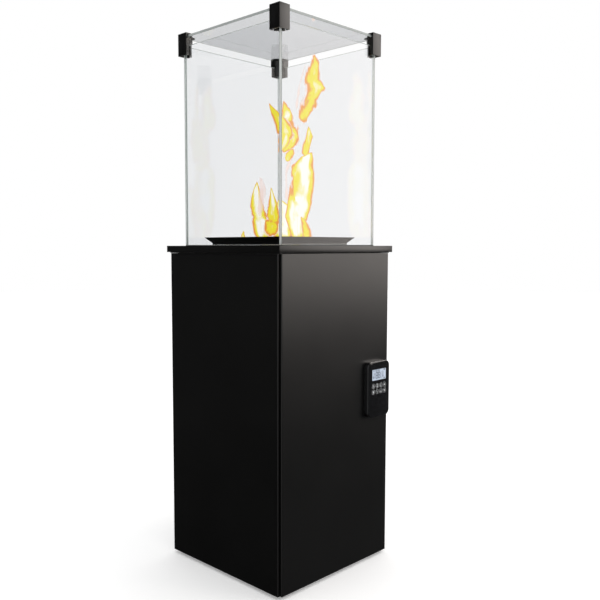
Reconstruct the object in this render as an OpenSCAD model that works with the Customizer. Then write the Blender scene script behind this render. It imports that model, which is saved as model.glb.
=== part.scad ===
// Free-standing gas patio heater: a square steel cabinet for a gas bottle, a thin deck with a
// flared burner tray, and a glass box held together by four corner brackets.
// Millimetres. The origin is on the floor under the middle of the cabinet, +Z up, the door on -Y.

/* [Cabinet] */
// Width across the outer panels, both ways
cab_w = 400; // [380:5:480]
// Height of the outer panels
panel_h = 778; // [740:1:960]
// Height of the panels' lower edges above the floor
floor_gap = 10; // [6:1:20]
// Thickness of the outer panels' sheet
panel_t = 1.5; // [1:0.1:2]
// Outer radius of the panels' bent edges
edge_r = 3; // [2.5:0.1:4]
// How far each panel stops short of the cabinet's corner
corner_inset = 6; // [5:0.5:8]
// Depth of the return flanges of the door and the back panel
panel_flange = 11; // [8:0.5:12]
// Gap between a panel's inner face and the frame inside it
frame_gap = 15.5; // [14:0.5:22]

/* [Frame] */
// Thickness of the frame's and the deck's sheet
sheet_t = 2; // [1.5:0.1:2.6]
// Width of each leg of a corner post
post_leg = 25; // [20:1:27]
// Height of the base pan's underside above the floor
pan_z = 37; // [34:1:50]
// Height of the base pan's walls
pan_wall_h = 25; // [20:1:40]
// Height of the top ring's upright legs
ring_h = 30; // [25:1:36]

/* [Feet] */
// Distance of each foot's middle from the base pan's walls
foot_in = 23; // [22:1:40]
// Radius of a foot's disc
foot_r = 20; // [15:1:22]
// Thickness of a foot's disc
foot_t = 6; // [4:1:10]
// Radius of a foot's threaded stem
stem_r = 4; // [3:0.5:5]

/* [Door] */
// Distance of the pivot line from the door's hinged side, along X
pivot_in_x = 13; // [12.5:0.5:14]
// Distance of the pivot line from the door's outer face, along Y
pivot_in_y = 7; // [6.5:0.5:7.5]
// Radius of the pivot pins
pivot_r = 2.5; // [2:0.1:2.6]
// Height of the lower hinge bracket above the base pan's underside
hinge_up = 3; // [2:1:10]
// Size of a magnetic catch along Z
catch_h = 46; // [30:2:60]

/* [Deck] */
// How far the deck stands out past the panels, on each side
deck_over = 4; // [1:0.5:20]
// Height of the deck's edge
deck_t = 16; // [14:1:25]
// Shadow gap between the panels and the deck
deck_gap = 2.5; // [1.5:0.5:6]

/* [Burner] */
// Width of the tray's upright neck, both ways
neck_w = 240; // [200:2:256]
// Height of the neck above the deck
neck_h = 6.8; // [4:0.2:12]
// Height of the 45 degree flare above the neck
flare_h = 14.5; // [10:0.5:18]
// Depth of the tray's underside below the deck's top
tray_depth = 60; // [50:1:66]
// Width of the tray's fixing flange below the deck
tray_flange = 16; // [14:1:18]
// Height of the burner box
burner_h = 30; // [24:1:34]
// Gap between the burner box and the tray's wall
burner_gap = 6; // [3:1:12]
// Radius of the ball that a lava stone fits inside
stone_r = 17; // [14:0.5:18]
// Distance between neighbouring stones
stone_pitch = 42; // [38:1:44]

/* [Glass] */
// Width across the outer faces of the side panes
glass_w = 340; // [282:2:360]
// Thickness of every pane
glass_t = 6; // [5:0.2:8]
// Height of the side panes
pane_h = 496.5; // [300:0.5:620]
// How far the top pane stands out past the side panes, on each side
top_over = 2; // [-2:0.5:4]
// Gap that lets the hot gas out, between the side panes and the top pane
exhaust_gap = 19.5; // [12:0.5:24]
// Thickness of the gasket under the panes
gasket_t = 1.5; // [1:0.5:3]

/* [Glass brackets] */
// Width of a corner bracket in plan
bracket_w = 32; // [30:1:40]
// Height of a corner bracket
bracket_h = 54; // [50:1:80]
// Distance of a bracket's outer face from the side panes' outer face
bracket_out = 10; // [8:0.5:12]
// Chamfer on a bracket's inner corner
bracket_cut = 14; // [8:1:15]
// Wall of a bracket
bracket_wall = 3; // [2:0.5:3.5]
// Thickness of a bracket's cap over the top pane
bracket_cap = 4; // [2:0.5:8]
// Thickness of the lip that carries the top pane
bracket_lip = 1.5; // [1:0.5:3]

/* [Gas bottle] */
// Radius of the bottle
bottle_r = 150; // [110:1:152]
// Height of the bottle with its guard collar
bottle_h = 600; // [420:5:620]
// Thickness of the bottle's shell
bottle_t = 3; // [2.5:0.5:4]
// Height of the round shoulders at the bottle's two ends
shoulder_r = 60; // [40:1:80]
// Height of the guard collar
collar_h = 105; // [90:1:120]

/* [Gas train] */
// Height of the shelf that carries the valve, below the tray's underside
shelf_drop = 61.5; // [58:0.5:90]
// Width of the control valve
valve_w = 100; // [80:2:120]
// Depth of the control valve, front to back
valve_d = 50; // [40:2:60]
// Height of the control valve
valve_h = 48; // [40:2:52]
// Radius of the valve's knob
knob_r = 19; // [15:1:22]
// Radius of the gas pipe
pipe_r = 4; // [3:0.5:5]
// Radius of the gas hose
hose_r = 5; // [4:0.5:6]

/* [Handset] */
// Width of the handset
hs_w = 84; // [76:1:90]
// Length of the handset
hs_h = 140; // [130:1:150]
// Thickness of the handset
hs_t = 15; // [14.5:0.5:16]
// Corner radius of the handset
hs_r = 14; // [8:1:18]
// Wall of the handset's back shell
hs_wall = 1.8; // [1.5:0.1:2.5]
// Place of the handset's middle along Y, on the cabinet's right panel
hs_y = 140; // [-120:1:145]
// Height of the handset's middle above the floor
hs_z = 446; // [200:1:650]

/* [Hidden] */

$fn = 48;
eps = 0.01;
fit = 0.05;             // running and thread clearance, radial
gap = 0.4;              // air between pieces that must not touch
past = 1;               // how far a cut runs past a face

// Colours
black_coat = [0.07, 0.07, 0.075];
frame_grey = [0.3, 0.31, 0.32];
steel = [0.6, 0.6, 0.62];
brass_tone = [0.75, 0.6, 0.3];
glass_tone = [0.8, 0.9, 0.92, 0.35];

// Levels and half widths
half = cab_w / 2;
panel_top = floor_gap + panel_h;
deck_low = panel_top + deck_gap;
deck_top = deck_low + deck_t;
sheet_low = deck_top - sheet_t;             // underside of the deck's top sheet
frame_half = half - panel_t - frame_gap;    // outer faces of the base pan and the top ring
post_half = frame_half - sheet_t;           // outer faces of the posts
pan_floor = pan_z + sheet_t;
leg_mid = post_half - post_leg / 2;         // middle of a post's leg
leg_in = post_half - sheet_t;               // inner face of a post's leg
foot_pos = frame_half - foot_in;
deck_w = cab_w + 2 * deck_over;
top_w = glass_w + 2 * top_over;

// Screws
screw_r = 2.5;
screw_head_r = 4.5;
screw_head_h = 3;
screw_bite = 12;        // length in the spacer
screw_clear = 0.5;      // radial clearance of a through hole

// A screw that points along +Z, its head's underside at the origin
module screw(reach) {
    translate([0, 0, -screw_head_h]) cylinder(r = screw_head_r, h = screw_head_h);
    cylinder(r = screw_r, h = reach);
}

// The four corners of a square, from its middle
function corners(d) = [for (x = [-1, 1], y = [-1, 1]) [x * d, y * d]];

// Mirrors its children into another quarter of the plan
module in_quarter(sx, sy) {
    mirror([sx < 0 ? 1 : 0, 0, 0]) mirror([0, sy < 0 ? 1 : 0, 0]) children();
}

// ---- Frame ----

vent_w = 8;
vent_l = 140;
vent_pitch = 30;

module base_pan() {
    color(frame_grey) difference() {
        translate([-frame_half, -frame_half, pan_z])
            cube([2 * frame_half, 2 * frame_half, pan_wall_h]);
        translate([-post_half, -post_half, pan_floor])
            cube([2 * post_half, 2 * post_half, pan_wall_h]);
        for (i = [-2:2]) translate([i * vent_pitch - vent_w / 2, -vent_l / 2, pan_z - past])
            cube([vent_w, vent_l, sheet_t + 2 * past]);
        for (c = corners(foot_pos)) translate([c[0], c[1], pan_z - past])
            cylinder(r = stem_r + 1, h = sheet_t + 2 * past);
    }
}

side_screw_z = [floor_gap + 110, panel_top - 90];
back_screw_z = [floor_gap + 130, panel_top - 110];

// The post at the back right; the others are mirrored from it
module post(sx, sy) {
    color(frame_grey) in_quarter(sx, sy) difference() {
        union() {
            translate([leg_in, post_half - post_leg, pan_floor])
                cube([sheet_t, post_leg, sheet_low - sheet_t - pan_floor]);
            translate([post_half - post_leg, leg_in, pan_floor])
                cube([post_leg, sheet_t, sheet_low - sheet_t - pan_floor]);
        }
        for (z = side_screw_z) translate([leg_in - past, leg_mid, z]) rotate([0, 90, 0])
            cylinder(r = screw_r + screw_clear, h = sheet_t + 2 * past);
        if (sy > 0) for (z = back_screw_z) translate([leg_mid, leg_in - past, z]) rotate([-90, 0, 0])
            cylinder(r = screw_r + screw_clear, h = sheet_t + 2 * past);
    }
}

deck_screw_at = [[leg_mid, 0, 0], [-leg_mid, 0, 0], [0, leg_mid, 0], [0, -leg_mid, 0]];

module top_ring() {
    color(frame_grey) difference() {
        translate([-frame_half, -frame_half, sheet_low - ring_h])
            cube([2 * frame_half, 2 * frame_half, ring_h]);
        translate([-post_half, -post_half, sheet_low - ring_h - past])
            cube([2 * post_half, 2 * post_half, ring_h + 1 - sheet_t]);
        translate([-(frame_half - post_leg), -(frame_half - post_leg), sheet_low - ring_h])
            cube([2 * (frame_half - post_leg), 2 * (frame_half - post_leg), ring_h + 1]);
        for (p = deck_screw_at) translate([p[0], p[1], sheet_low - sheet_t - past])
            cylinder(r = screw_r + screw_clear, h = sheet_t + 2 * past);
    }
}

// ---- Feet ----

nut_h = 7;
nut_r = 8;
foot_cone_h = 5;
foot_cone_r = foot_r * 0.6;                 // lower radius of the cone on the disc
stem_over = 10;                             // length of the stem above its nut

module foot_nuts() {
    color(steel) for (c = corners(foot_pos)) translate([c[0], c[1], pan_floor]) difference() {
        cylinder(r = nut_r, h = nut_h, $fn = 6);
        translate([0, 0, -past]) cylinder(r = stem_r + fit, h = nut_h + 2 * past);
    }
}

module foot(sx, sy) {
    color("dimgray") translate([sx * foot_pos, sy * foot_pos, 0]) {
        cylinder(r = foot_r, h = foot_t);
        translate([0, 0, foot_t - eps]) cylinder(r1 = foot_cone_r, r2 = foot_cone_r / 2, h = foot_cone_h);
        cylinder(r = stem_r, h = pan_floor + nut_h + stem_over);
    }
}

// ---- Panels ----

// Plan outline of a bent panel: outer face on y = 0, looking along +Y from outside.
// A flange of 0 stops the sheet at the end of its bend.
module panel_outline(w, flange) {
    flat = w / 2 - edge_r;
    translate([-flat, 0]) square([2 * flat, panel_t]);
    for (s = [-1, 1]) translate([s * flat, edge_r]) difference() {
        circle(r = edge_r);
        circle(r = edge_r - panel_t);
        translate([-edge_r - past, 0]) square([2 * (edge_r + past), edge_r + past]);
        translate([s > 0 ? -edge_r - past : 0, -edge_r - past]) square([edge_r + past, 2 * (edge_r + past)]);
    }
    if (flange > edge_r) for (s = [-1, 1])
        translate([s * (w / 2 - panel_t / 2) - panel_t / 2, edge_r])
            square([panel_t, flange - edge_r]);
}

// A panel standing on its lower edge, with turned-in top and bottom edges. Where the panel has
// no side flanges, these edges stop short, clear of its neighbours' edges.
module bent_panel(w, flange) {
    edge = w / 2 - edge_r - (flange > 0 ? 0 : panel_flange);
    linear_extrude(panel_h) panel_outline(w, flange);
    for (z = [0, panel_h - panel_t]) translate([-edge, panel_t / 2, z])
        cube([2 * edge, panel_flange - panel_t / 2, panel_t]);
}

panel_w = cab_w - 2 * corner_inset;
spacer_r = 6;
spacer_l = frame_gap + sheet_t;             // from a panel's inner face to the post

// Spacer welded inside a panel, drawn with the panel's outer face on y = 0
module spacer() {
    translate([0, panel_t - eps, 0]) rotate([-90, 0, 0]) difference() {
        cylinder(r = spacer_r, h = spacer_l + eps);
        translate([0, 0, spacer_l - screw_bite - 2]) cylinder(r = screw_r + fit, h = screw_bite + 3);
    }
}

module fixed_panel(flange, screw_z) {
    translate([0, -half, floor_gap]) {
        bent_panel(panel_w, flange);
        for (s = [-1, 1], z = screw_z) translate([s * leg_mid, 0, z - floor_gap]) spacer();
    }
}

module panel_back() {
    color(black_coat) rotate([0, 0, 180]) fixed_panel(panel_flange, back_screw_z);
}

module panel_left() {
    color(black_coat) rotate([0, 0, -90]) fixed_panel(0, side_screw_z);
}

module panel_right() {
    color(black_coat) rotate([0, 0, 90]) fixed_panel(0, side_screw_z);
}

module panel_screws() {
    reach = sheet_t + screw_bite;
    color(steel) {
        for (sx = [-1, 1], sy = [-1, 1], z = side_screw_z)
            translate([sx * leg_in, sy * leg_mid, z]) rotate([0, sx * 90, 0]) screw(reach);
        for (sx = [-1, 1], z = back_screw_z)
            translate([sx * leg_mid, leg_in, z]) rotate([-90, 0, 0]) screw(reach);
    }
}

// ---- Door ----

pivot = [-(half - pivot_in_x), -(half - pivot_in_y)];
hinge_t = 3;                                // bracket plate
hinge_pad = 4.5;                            // radius of the plate round its pin
pin_l = 9;
bush_flange = 1;
bush_r = 3.5;
plate_t = 4;                                // pivot plate on the door
hinge_low = pan_z + hinge_up;               // underside of the lower bracket's plate
hinge_high = sheet_low - ring_h - hinge_t - 1.5;    // underside of the upper bracket's plate
notch_clear = 2;                            // room for a bracket in the door's flange
tab_w = 26;
tab_h = 18;
tab_gap = 11;                               // from the pivot line to the bracket's tab

// Bracket plate with its pin up, drawn from the plate's underside
module hinge_bracket() {
    pad_l = tab_gap + tab_w;
    linear_extrude(hinge_t) {
        translate(pivot) circle(r = hinge_pad);
        translate([pivot[0], pivot[1] - hinge_pad])
            square([pad_l, -frame_half - pivot[1] + hinge_pad]);
    }
    translate([pivot[0], pivot[1], 0]) cylinder(r = pivot_r, h = hinge_t + pin_l);
    translate([pivot[0] + tab_gap, -frame_half - hinge_t, 0]) cube([tab_w, hinge_t, tab_h]);
}

module hinge_bracket_lower() {
    color(frame_grey) translate([0, 0, hinge_low]) hinge_bracket();
}

module hinge_bracket_upper() {
    color(frame_grey) {
        translate([0, 0, hinge_high + hinge_t]) mirror([0, 0, 1]) difference() {
            hinge_bracket();
            translate([-half, -frame_half - hinge_t, hinge_t]) cube([cab_w, hinge_t + 1, tab_h]);
        }
        translate([pivot[0] + tab_gap, -frame_half - hinge_t, hinge_high])
            cube([tab_w, hinge_t, tab_h]);
    }
}

module door_panel() {
    notch_x = -(half - corner_inset) - past;
    color(black_coat) difference() {
        translate([0, -half, floor_gap]) bent_panel(panel_w, panel_flange);
        for (z = [hinge_low, hinge_high])
            translate([notch_x, -half + edge_r, z - notch_clear])
                cube([panel_t + past + 0.2, panel_flange, hinge_t + 2 * notch_clear - 1]);
    }
}

lower_plate_z = hinge_low + hinge_t + fit + bush_flange;
upper_plate_z = hinge_high - fit - bush_flange - plate_t;

// A plate welded into the door's corner, with its bush hole
module pivot_plate(z) {
    inner_x = -(half - corner_inset - panel_t);     // inner face of the door's flange
    inner_y = -(half - panel_t);                    // inner face of the door's sheet
    bend = edge_r - panel_t;
    translate([0, 0, z]) linear_extrude(plate_t) difference() {
        polygon([[inner_x, inner_y + bend], [inner_x + bend, inner_y], [inner_x + 28, inner_y],
            [inner_x + 28, pivot[1] + 5.5], [inner_x, pivot[1] + 4]]);
        translate(pivot) circle(r = bush_r + fit / 2);
    }
}

module door_pivot_plates() {
    color(frame_grey) {
        pivot_plate(lower_plate_z);
        pivot_plate(upper_plate_z);
    }
}

module bush(z, flange_z) {
    translate([pivot[0], pivot[1], 0]) difference() {
        union() {
            translate([0, 0, z]) cylinder(r = bush_r, h = plate_t);
            translate([0, 0, flange_z]) cylinder(r = hinge_pad, h = bush_flange);
        }
        translate([0, 0, z - 5]) cylinder(r = pivot_r + fit, h = plate_t + 10);
    }
}

module pivot_bushes() {
    color("ivory") {
        bush(lower_plate_z, lower_plate_z - bush_flange);
        bush(upper_plate_z, upper_plate_z + plate_t);
    }
}

catch_z = [floor_gap + 140, panel_top - 140];
catch_w = 18;
strike_t = 2;
strike_w = 22;
strike_over = 3;                            // how far a strike plate runs past its catch

module door_catches() {
    depth = half - panel_t - strike_t - gap - post_half;
    color("dimgray") for (z = catch_z)
        translate([leg_mid - catch_w / 2, -post_half - depth, z - catch_h / 2])
            cube([catch_w, depth, catch_h]);
}

module strike_plates() {
    color(steel) for (z = catch_z)
        translate([leg_mid - strike_w / 2, -half + panel_t, z - catch_h / 2 - strike_over])
            cube([strike_w, strike_t, catch_h + 2 * strike_over]);
}

// ---- Deck ----

tray_half = neck_w / 2;
tray_screw_off = tray_half + tray_flange / 2 + 1;
tray_screw_at = [for (s = [-1, 1], t = [-1, 1]) each
    [[s * tray_screw_off, t * tray_half / 2, 0], [t * tray_half / 2, s * tray_screw_off, 0]]];
deck_bite = sheet_t * 0.7;                  // depth of the blind holes in the deck's sheet

module deck_plate() {
    color(black_coat) difference() {
        translate([-deck_w / 2, -deck_w / 2, deck_low]) cube([deck_w, deck_w, deck_t]);
        translate([-deck_w / 2 + sheet_t, -deck_w / 2 + sheet_t, deck_low - past])
            cube([deck_w - 2 * sheet_t, deck_w - 2 * sheet_t, deck_t + 1 - sheet_t]);
        translate([-tray_half - gap, -tray_half - gap, deck_low])
            cube([neck_w + 2 * gap, neck_w + 2 * gap, deck_t + 1]);
        for (p = concat(deck_screw_at, tray_screw_at)) translate([p[0], p[1], sheet_low - past])
            cylinder(r = screw_r + fit, h = 1 + deck_bite + 0.2);
    }
}

module deck_screws() {
    reach = sheet_t + deck_bite;
    color(steel) for (p = concat(deck_screw_at, tray_screw_at))
        translate([p[0], p[1], sheet_low - sheet_t]) screw(reach);
}

// ---- Burner ----

tray_low = deck_top - tray_depth;
neck_top = deck_top + neck_h;

// A square funnel with 45 degree sides, standing on z = 0, its lower width w
module flare(w, h) {
    intersection_for (turn = [0, 90]) rotate([0, 0, turn])
        rotate([90, 0, 0]) linear_extrude(2 * w, center = true)
            polygon([[-w / 2, 0], [w / 2, 0], [w / 2 + h, h], [-w / 2 - h, h]]);
}

injector_hole = 9;

module burner_tray() {
    inner = neck_w - 2 * sheet_t;
    color(black_coat) difference() {
        union() {
            translate([-tray_half, -tray_half, tray_low])
                cube([neck_w, neck_w, neck_top - tray_low]);
            translate([0, 0, neck_top - eps]) flare(neck_w, flare_h + eps);
            translate([-tray_half - tray_flange, -tray_half - tray_flange, sheet_low - sheet_t])
                cube([neck_w + 2 * tray_flange, neck_w + 2 * tray_flange, sheet_t]);
        }
        translate([-inner / 2, -inner / 2, tray_low + sheet_t])
            cube([inner, inner, neck_top - tray_low]);
        translate([0, 0, neck_top]) flare(inner, flare_h + 1);
        translate([0, 0, tray_low - past]) cylinder(r = injector_hole, h = sheet_t + 2 * past);
        translate([pilot_at[0], pilot_at[1], tray_low - past])
            cylinder(r = pilot_tube_r + 1, h = sheet_t + 2 * past);
        for (p = tray_screw_at) translate([p[0], p[1], sheet_low - sheet_t - past])
            cylinder(r = screw_r + screw_clear, h = sheet_t + 2 * past);
    }
}

burner_half = tray_half - sheet_t - burner_gap;
burner_low = tray_low + sheet_t;
burner_top = burner_low + burner_h;
burner_t = 1.5;
slot_w = 3;
slot_l = 24;
slot_pitch = 32;

module burner_box() {
    color(steel) difference() {
        translate([-burner_half, -burner_half, burner_low])
            cube([2 * burner_half, 2 * burner_half, burner_h]);
        translate([-burner_half + burner_t, -burner_half + burner_t, burner_low - past])
            cube([2 * (burner_half - burner_t), 2 * (burner_half - burner_t),
                burner_h + 1 - burner_t]);
        for (i = [-2:2], j = [-2:2])
            translate([i * slot_pitch - slot_l / 2, j * slot_pitch - slot_w / 2, burner_top - 5])
                cube([slot_l, slot_w, 10]);
        translate([pilot_at[0] - pilot_room, pilot_at[1] - pilot_room, burner_low - past])
            cube([2 * pilot_room, burner_half, burner_h + 2]);
    }
}

// Lava stones in two layers, each stone a turned and flattened ball of few faces
stone_rows = 5;
layer_rise = sqrt(max(4 * stone_r * stone_r - stone_pitch * stone_pitch / 2, 1)) + 0.4;
stone_floor = burner_top + stone_r;

module stone(seed) {
    turn = rands(0, 360, 3, seed);
    flat = rands(0.72, 0.98, 2, seed + 100);
    rotate(turn) scale([1, flat[0], flat[1]]) sphere(r = stone_r, $fn = 6);
}

module lava_stones() {
    color([0.16, 0.15, 0.15]) for (layer = [0, 1]) {
        rows = stone_rows - layer;
        for (i = [0:rows - 1], j = [0:rows - 1]) {
            at = [(i - (rows - 1) / 2) * stone_pitch, (j - (rows - 1) / 2) * stone_pitch];
            translate([at[0], at[1], stone_floor + layer * layer_rise])
                stone(layer * 50 + i * rows + j);
        }
    }
}

pilot_at = [0, neck_w / 2 - 14];
pilot_tube_r = 4;
pilot_room = 9;

// Pilot tube with its hood, the spark electrode beside it, and the foot that holds both
module pilot_assembly() {
    tube_below = 25;
    hood_h = 8;
    hood_up = burner_h + 4;
    foot_w = 14;
    foot_plate_t = 2;
    spark_x = -6.2;
    spark_r = 1;
    insulator_r = 2.2;
    insulator_h = 22;
    color(steel) translate([pilot_at[0], pilot_at[1], tray_low]) {
        translate([0, 0, -tube_below]) cylinder(r = pilot_tube_r, h = tube_below + hood_up + hood_h / 8);
        translate([0, 0, hood_up]) cylinder(r = pilot_tube_r + 1.5, h = hood_h);
        translate([-foot_w / 2, -foot_w / 2, sheet_t]) cube([foot_w, foot_w, foot_plate_t]);
        translate([spark_x, 0, sheet_t + foot_plate_t / 2]) {
            cylinder(r = spark_r, h = burner_h + hood_h);
            cylinder(r = insulator_r, h = insulator_h);
        }
    }
}

// ---- Gas bottle ----

bottle_low = pan_floor;
foot_ring_h = 15;
sunk = 4;                                   // how far the collar and the foot ring run into the shoulders
body_low = bottle_low + foot_ring_h;
body_h = bottle_h - foot_ring_h - collar_h + sunk;
body_top = body_low + body_h;
collar_r = 75;
collar_window = 45;                         // half the width of the opening at the valve's outlet
collar_base = 14;                           // height of the collar under that opening
hand_hole = [30, 70, 24];
hand_hole_low = collar_h - 45;
ring_r = bottle_r - shoulder_r + 20;        // foot ring
valve_boss_r = 18;
valve_boss_h = 12;
valve_seat_r = 12;

// Half of the bottle's section, grown inwards by a wall
module bottle_section(wall) {
    r = bottle_r - wall;
    s = shoulder_r - wall;
    translate([0, wall]) square([r - s, body_h - 2 * wall]);
    translate([0, wall + s]) square([r, body_h - 2 * wall - 2 * s]);
    for (y = [wall + s, body_h - wall - s]) translate([r - s, y]) intersection() {
        circle(r = s);
        translate([0, -s]) square([s, 2 * s]);
    }
}

module gas_bottle() {
    color([0.55, 0.12, 0.08]) difference() {
        union() {
            translate([0, 0, body_low]) rotate_extrude($fn = 96) bottle_section(0);
            translate([0, 0, bottle_low]) difference() {
                cylinder(r = ring_r, h = foot_ring_h + sunk + 2, $fn = 96);
                translate([0, 0, -past]) cylinder(r = ring_r - bottle_t, h = foot_ring_h + sunk + 4, $fn = 96);
            }
            translate([0, 0, body_top - sunk]) difference() {
                cylinder(r = collar_r, h = collar_h, $fn = 96);
                translate([0, 0, -past]) cylinder(r = collar_r - bottle_t, h = collar_h + 2 * past, $fn = 96);
                translate([0, -collar_window, collar_base])
                    cube([collar_r + past, 2 * collar_window, collar_h]);
                translate([-collar_r - past, -hand_hole[1] / 2, hand_hole_low]) cube(hand_hole);
            }
            translate([0, 0, body_top - bottle_t]) cylinder(r = valve_boss_r, h = valve_boss_h + bottle_t);
        }
        translate([0, 0, body_low]) rotate_extrude($fn = 96) bottle_section(bottle_t);
        translate([0, 0, body_top - 20]) cylinder(r = valve_seat_r + fit, h = 60);
    }
}

valve_low = body_top - 8;
valve_body_r = 15;
valve_body_low = body_top + valve_boss_h;
valve_body_h = 34;
outlet_z = valve_body_low + 17;
outlet_r = 9;
outlet_end = 30;
spindle_r = 5;
spindle_over = 2;                           // length of the spindle above its wheel
gland_h = 4;
wheel_low = valve_body_low + valve_body_h + gland_h + 2;
wheel_h = 14;
wheel_r = 28;

module bottle_valve() {
    color(brass_tone) {
        translate([0, 0, valve_low]) cylinder(r = valve_seat_r, h = valve_body_low - valve_low + 1);
        translate([0, 0, valve_body_low]) cylinder(r = valve_body_r, h = valve_body_h);
        translate([0, 0, outlet_z]) rotate([0, 90, 0]) cylinder(r = outlet_r, h = outlet_end);
        translate([0, 0, valve_body_low + valve_body_h - eps]) {
            cylinder(r = spindle_r + 2, h = gland_h);
            cylinder(r = spindle_r, h = wheel_low + wheel_h + spindle_over - valve_body_low - valve_body_h);
        }
    }
}

module bottle_handwheel() {
    lobes = 6;
    lobe_r = 7;
    color([0.1, 0.1, 0.1]) translate([0, 0, wheel_low]) difference() {
        union() {
            cylinder(r = wheel_r - lobe_r / 2, h = wheel_h);
            for (i = [0:lobes - 1]) rotate([0, 0, i * 360 / lobes])
                translate([wheel_r - lobe_r, 0, 0]) cylinder(r = lobe_r, h = wheel_h);
        }
        translate([0, 0, -past]) cylinder(r = spindle_r + fit, h = wheel_h + 2 * past);
        translate([0, 0, wheel_h - 4]) difference() {
            cylinder(r = wheel_r - lobe_r - 4, h = 5);
            translate([0, 0, -past]) cylinder(r = spindle_r + 4, h = 7);
        }
    }
}

reg_nut_l = 14;
reg_nut_r = 13;
reg_neck_r = 7;
reg_r = 27;
reg_t = 24;
reg_cap_in = 8;                             // the cap's step in, and its height
reg_x = outlet_end + reg_nut_l + 24;
reg_out = reg_r + 14;                       // outlet's end from the regulator's middle, along -Y

module regulator() {
    color("slategray") {
        translate([outlet_end, 0, outlet_z]) rotate([0, 90, 0]) cylinder(r = reg_nut_r, h = reg_nut_l, $fn = 6);
        translate([outlet_end + reg_nut_l - 1, 0, outlet_z]) rotate([0, 90, 0])
            cylinder(r = reg_neck_r, h = 12);
        translate([reg_x, 0, outlet_z - reg_t / 2]) cylinder(r = reg_r, h = reg_t);
        translate([reg_x, 0, outlet_z + reg_t / 2 - 1]) cylinder(r = reg_r - reg_cap_in, h = reg_cap_in);
        translate([reg_x, 0, outlet_z]) rotate([90, 0, 0]) cylinder(r = hose_r + 1, h = reg_out);
    }
}

strap_z = bottle_low + 360;
strap_w = 25;
strap_t = 2;

// Webbing round the bottle's front, along its sides and hooked behind the back posts' legs
module bottle_strap() {
    r = bottle_r + 0.3;
    color([0.15, 0.15, 0.16]) translate([0, 0, strap_z]) {
        difference() {
            cylinder(r = r + strap_t, h = strap_w, $fn = 96);
            translate([0, 0, -past]) cylinder(r = r, h = strap_w + 2 * past, $fn = 96);
            translate([-cab_w, 0, -past]) cube([2 * cab_w, cab_w, strap_w + 2 * past]);
        }
        for (s = [-1, 1]) {
            translate([s * (r + strap_t / 2) - strap_t / 2, -eps, 0]) cube([strap_t, leg_in, strap_w]);
            translate([s > 0 ? r : -leg_mid - 4, leg_in - strap_t, 0])
                cube([leg_mid + 4 - r, strap_t, strap_w]);
        }
    }
}

// ---- Gas train ----

shelf_low = tray_low - shelf_drop - sheet_t;
shelf_top = shelf_low + sheet_t;
shelf_front = -(post_half - post_leg) + 1;
shelf_d = 96;
hose_x = 112;                               // where the hose rises past the shelf
hose_room = 20;                             // half the width of the shelf's notch for the hose
hose_room_d = 41;

module valve_shelf() {
    wall_top = sheet_low - sheet_t - 4;
    color(frame_grey) difference() {
        union() {
            translate([-post_half, shelf_front, shelf_low]) cube([2 * post_half, shelf_d, sheet_t]);
            for (s = [-1, 1]) translate([s * (post_half - sheet_t / 2) - sheet_t / 2, shelf_front,
                shelf_low]) cube([sheet_t, shelf_d, wall_top - shelf_low]);
        }
        translate([hose_x - hose_room, shelf_front - past, shelf_low - past])
            cube([2 * hose_room, hose_room_d + past, sheet_t + 2 * past]);
    }
}

valve_front = shelf_front + 5;
valve_mid_z = shelf_top + valve_h / 2;
knob_shaft_r = 4;
knob_gap = 2;
knob_h = 15;
inlet_y = valve_front + 15;
inlet_end = valve_w / 2 + 12;
step = 8;                                   // rebate along the valve body's upper corners
regulator_cap_r = 12;
regulator_cap_h = 7;

module control_valve() {
    color([0.62, 0.62, 0.6]) {
        difference() {
            translate([-valve_w / 2, valve_front, shelf_top]) cube([valve_w, valve_d, valve_h]);
            for (s = [-1, 1]) translate([s * valve_w / 2 - step, valve_front - past,
                shelf_top + valve_h - step]) cube([2 * step, valve_d + 2 * past, step + past]);
        }
        translate([0, valve_front + 1, valve_mid_z]) rotate([90, 0, 0])
            cylinder(r = knob_shaft_r, h = knob_gap + knob_h - 1);
        translate([0, valve_front + valve_d - 1, valve_mid_z]) rotate([-90, 0, 0])
            cylinder(r = pipe_r + 4, h = 9, $fn = 6);
        translate([valve_w / 2 - 1, inlet_y, valve_mid_z]) rotate([0, 90, 0])
            cylinder(r = hose_r + 1, h = inlet_end - valve_w / 2 + 1);
        translate([-valve_w / 2 + step, valve_front + step, shelf_top + valve_h - step - past])
            cylinder(r = regulator_cap_r, h = step + past + regulator_cap_h);
    }
}

module valve_knob() {
    ribs = 16;
    rib_r = 1.2;
    skirt_h = 4;
    grip_r = knob_r - 3;
    color([0.08, 0.08, 0.08]) translate([0, valve_front - knob_gap, valve_mid_z]) rotate([90, 0, 0])
        difference() {
            union() {
                cylinder(r = knob_r, h = skirt_h);
                cylinder(r = grip_r, h = knob_h);
                for (i = [0:ribs - 1]) rotate([0, 0, i * 360 / ribs])
                    translate([grip_r, 0, 0]) cylinder(r = rib_r, h = knob_h);
            }
            translate([0, 0, -past]) cylinder(r = knob_shaft_r + fit, h = knob_h - 0.4);
            translate([-1, grip_r - 6, knob_h - rib_r]) cube([2, 7, 2]);
        }
}

bend_r = 20;
pipe_start = valve_front + valve_d + 8;
injector_low = tray_low - 14;

// Pipe from the valve's back, along +Y, then a quarter bend up to the injector
module gas_pipe() {
    color([0.72, 0.73, 0.74]) {
        translate([0, pipe_start, valve_mid_z]) rotate([-90, 0, 0])
            cylinder(r = pipe_r, h = -bend_r - pipe_start + eps);
        translate([0, -bend_r, valve_mid_z + bend_r]) rotate([0, -90, 0])
            rotate_extrude(angle = 90) translate([-bend_r, 0]) circle(r = pipe_r);
        translate([0, 0, valve_mid_z + bend_r - eps])
            cylinder(r = pipe_r, h = injector_low - valve_mid_z - bend_r + eps);
    }
}

injector_hex_r = 8;
injector_hex_h = 12;
injector_r = 5;
injector_h = 23;
jet_r = 1;

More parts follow.
